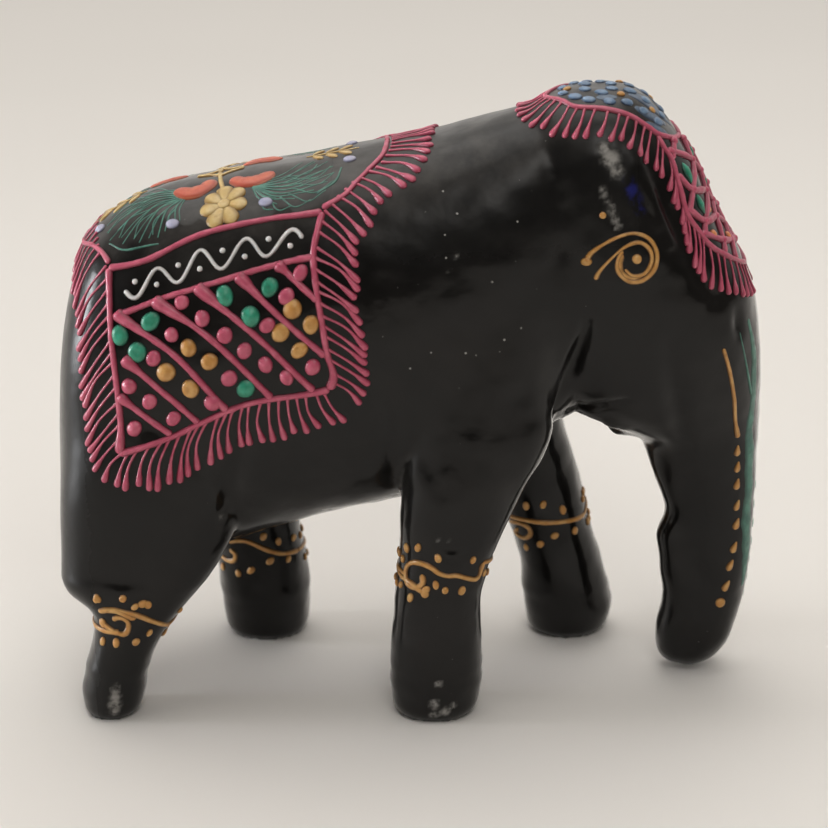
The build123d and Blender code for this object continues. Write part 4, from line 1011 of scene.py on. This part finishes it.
FORE_INSIDE = {
    "lines": [
        [(13.4, 19.6), (16.0, 19.8), (20.0, 19.6), (25.2, 19.5)],
        [(14.2, 18.6), (15.4, 19.0), (16.9, 18.6), (17.2, 17.4), (16.2, 16.5), (15.0, 16.9), (15.4, 17.9)],
    ],
    "dots": [(14.2, 21.8), (16.6, 22.2), (19.1, 22.5), (22.0, 21.4), (16.6, 15.0), (18.7, 16.0),
             (20.8, 17.4), (23.8, 17.8)],
}
HIND_INSIDE = {
    "lines": [
        [(-27.6, 17.0), (-26.1, 17.4), (-24.4, 17.2), (-21.6, 15.6), (-19.6, 14.7), (-17.6, 14.3)],
        [(-29.4, 14.0), (-28.2, 13.4), (-27.0, 13.6), (-26.7, 14.8), (-27.5, 15.6)],
    ],
    "dots": [(-22.3, 18.1), (-20.2, 16.9), (-18.1, 16.6), (-28.8, 11.9), (-26.4, 11.6), (-24.4, 12.3),
             (-21.5, 13.8), (-18.9, 13.6)],
}
# Each leg: side, centre (x, y) at the anklet, and its outside and inside drawings with their (x, z) shifts.
ANKLETS = {
    "right_fore": (RIGHT, (4.4, -13.2), FORE_OUTSIDE, (0.5, 0.0), FORE_INSIDE, (-15.8, 2.6)),
    "left_fore": (LEFT, (20.0, 13.2), FORE_OUTSIDE, (15.8, -2.6), FORE_INSIDE, (0.0, 0.0)),
    "right_hind": (RIGHT, (-39.2, -13.1), HIND_OUTSIDE, (0.0, 0.0), HIND_INSIDE, (-16.0, 0.4)),
    "left_hind": (LEFT, (-23.2, 13.2), HIND_OUTSIDE, (16.0, -0.4), HIND_INSIDE, (0.0, 0.0)),
}


def anklet(skin, name):
    """A gold scroll outside and inside the leg, joined round the front and back, with dots about it."""
    side, centre, outside, outside_shift, inside, inside_shift = ANKLETS[name]
    relief = Relief(skin)
    ends = []
    faces = ((outside, outside_shift, skin.flank), (inside, inside_shift, skin.inner))
    for drawing, (dx, dz), place in faces:
        for k, line in enumerate(drawing["lines"]):
            path = [(x + dx, z + dz) for x, z in line]
            trail = skin.trail(place, side, path, 0.25)
            relief.bead(trail, [0.52, 0.46, 0.4, 0.48, 0.4, 0.42, 0.46], 0.6)
            if k == 0:
                ends.append((min(trail, key=lambda p: p.x), max(trail, key=lambda p: p.x)))
        for x, z in drawing["dots"]:
            relief.dot(place(side, x + dx, z + dz), 0.62 * dice.uniform(0.88, 1.12), 0.36,
                       dice.uniform(1.05, 1.25), dice.uniform(0.8, 2.2))

    def round_leg(turn, z):
        way = Vector((math.cos(turn), math.sin(turn), 0))
        return skin.shoot(Vector((centre[0], centre[1], z)) + way * 9, -way)

    for outer_end, inner_end in zip(*ends):
        start = math.atan2(outer_end.y - centre[1], outer_end.x - centre[0])
        sweep = math.atan2(inner_end.y - centre[1], inner_end.x - centre[0]) - start
        sweep = (sweep + math.pi) % (2 * math.pi) - math.pi
        levels = (outer_end.z, inner_end.z)
        trail = [round_leg(start + sweep * t, levels[0] + (levels[1] - levels[0]) * t)[0]
                 for t in np.linspace(0, 1, 24)]
        relief.bead(trail, [0.42, 0.38, 0.42, 0.38, 0.42], 0.6)
        for share, offset in ((0.2, 1.9), (0.5, 2.2), (0.8, 1.9), (0.12, -1.8), (0.4, -2.1), (0.7, -1.9)):
            z = levels[0] + (levels[1] - levels[0]) * share + offset
            seat = round_leg(start + sweep * share, z)
            if math.hypot(seat[0].x - centre[0], seat[0].y - centre[1]) < 7.5:
                relief.dot(seat, 0.56, 0.34, 1.12, dice.uniform(0.8, 2.2))
    relief.finish(f"anklet_{name}", "paint_gold")


# ---- Stage, light and camera --------------------------------------------------------------------
def stage():
    """A pale seamless floor."""
    rings, spokes = (0.0, 0.3, 0.8, 2.0, 5.0, 12.0), 48
    points = [(0, 0, 0)]
    faces = []
    for radius in rings[1:]:
        for k in range(spokes):
            turn = 2 * math.pi * k / spokes
            points.append((radius * math.cos(turn), radius * math.sin(turn), 0))
    for k in range(spokes):
        n = (k + 1) % spokes
        faces.append((0, 1 + k, 1 + n))
        for ring in range(len(rings) - 2):
            low, high = 1 + ring * spokes, 1 + (ring + 1) * spokes
            faces.append((low + k, high + k, high + n, low + n))
    mesh = bpy.data.meshes.new("floor")
    mesh.from_pydata(points, [], faces)
    m = Material("floor_paper")
    m.feed("Base Color", m.mix(m.texture(6, 3), (0.84, 0.81, 0.77), (0.9, 0.87, 0.83)))
    m.feed("Roughness", 0.85)
    m.feed("Specular IOR Level", 0.15)
    mesh.materials.append(m.material)
    floor = link("floor", mesh)
    floor.location.z = CAD_BOX[0][2] - 0.00002


def area_light(name, place, aim, size, power, colour, size_y=None, spread=180):
    data = bpy.data.lights.new(name, "AREA")
    data.shape = "RECTANGLE"
    data.size = size
    data.size_y = size_y or size
    data.energy = power
    data.color = colour
    data.spread = math.radians(spread)
    light = link(name, data)
    light.location = place
    light.rotation_euler = (Vector(aim) - Vector(place)).to_track_quat("-Z", "Y").to_euler()


def sky():
    """Bright behind and above, dim on the camera's side, and always pale where the camera looks."""
    world = bpy.data.worlds.new("room")
    bpy.context.scene.world = world
    w = Nodes(world)
    split = w.new("ShaderNodeSeparateXYZ")
    w.wire(w.place, "Generated", split, "Vector")
    above = w.remap(split.outputs["Z"], -0.1, 0.9, 0.0, 0.22)
    behind = w.remap(split.outputs["Y"], -0.1, 0.9, 0.0, 0.7)
    pick = w.new("ShaderNodeMixShader")
    strengths = (w.math("ADD", w.math("ADD", above, behind), 0.05), 1.0)
    for k, (colour, strength) in enumerate(zip(((1.0, 0.96, 0.91), (0.73, 0.68, 0.62)), strengths)):
        room = w.new("ShaderNodeBackground")
        w.set(room.inputs["Color"], colour)
        w.set(room.inputs["Strength"], strength)
        w.wire(room, "Background", pick, 1 + k)
    w.wire(w.new("ShaderNodeLightPath"), "Is Camera Ray", pick, "Fac")
    w.wire(pick, "Shader", w.new("ShaderNodeOutputWorld"), "Surface")


def lights():
    warm, cool = (1.0, 0.97, 0.93), (0.95, 0.97, 1.0)
    area_light("top_light", (-0.05, 0.12, 0.75), (0, -0.03, 0.0), 0.7, 2.75, warm)
    area_light("window_left", (-0.9, 0.0, 0.13), (0, 0, 0.07), 0.5, 0.42, cool, 0.3, 26)
    area_light("front_fill", (0.2, -0.8, 0.9), (0, -0.1, 0.0), 0.5, 2.6, warm)
    sky()


def camera():
    turn, rise, roll = (math.radians(v) for v in (VIEW_TURN, VIEW_RISE, VIEW_ROLL))
    back = Vector((math.sin(turn) * math.cos(rise), -math.cos(turn) * math.cos(rise), math.sin(rise)))
    right = Vector((math.cos(turn), math.sin(turn), 0))
    up = back.cross(right)
    tilted_right = right * math.cos(roll) + up * math.sin(roll)
    tilted_up = up * math.cos(roll) - right * math.sin(roll)
    place = (Vector(VIEW_CENTRE) + back * VIEW_DISTANCE) * MM
    focus = link("focus", None)
    focus.location = Vector(FOCUS) * MM
    data = bpy.data.cameras.new("camera")
    data.lens = LENS
    data.sensor_width = SENSOR
    data.clip_start = 0.01
    data.dof.use_dof = True
    data.dof.focus_object = focus
    data.dof.aperture_fstop = 32
    view = link("camera", data)
    axes = Matrix((tilted_right, tilted_up, back)).transposed().to_4x4()
    view.matrix_world = Matrix.Translation(place) @ axes
    bpy.context.scene.camera = view


# ---- Build --------------------------------------------------------------------------------------
body = carved_skin()
body.data.materials.append(lacquer())
surface = Skin(body.data)
saddle_cloth(surface)
banner(surface)
back_panel(surface)
head_cloth(surface)
face_and_trunk(surface)
for leg in ANKLETS:
    anklet(surface, leg)
stage()
lights()
camera()
bpy.context.scene.view_settings.view_transform = "Standard"
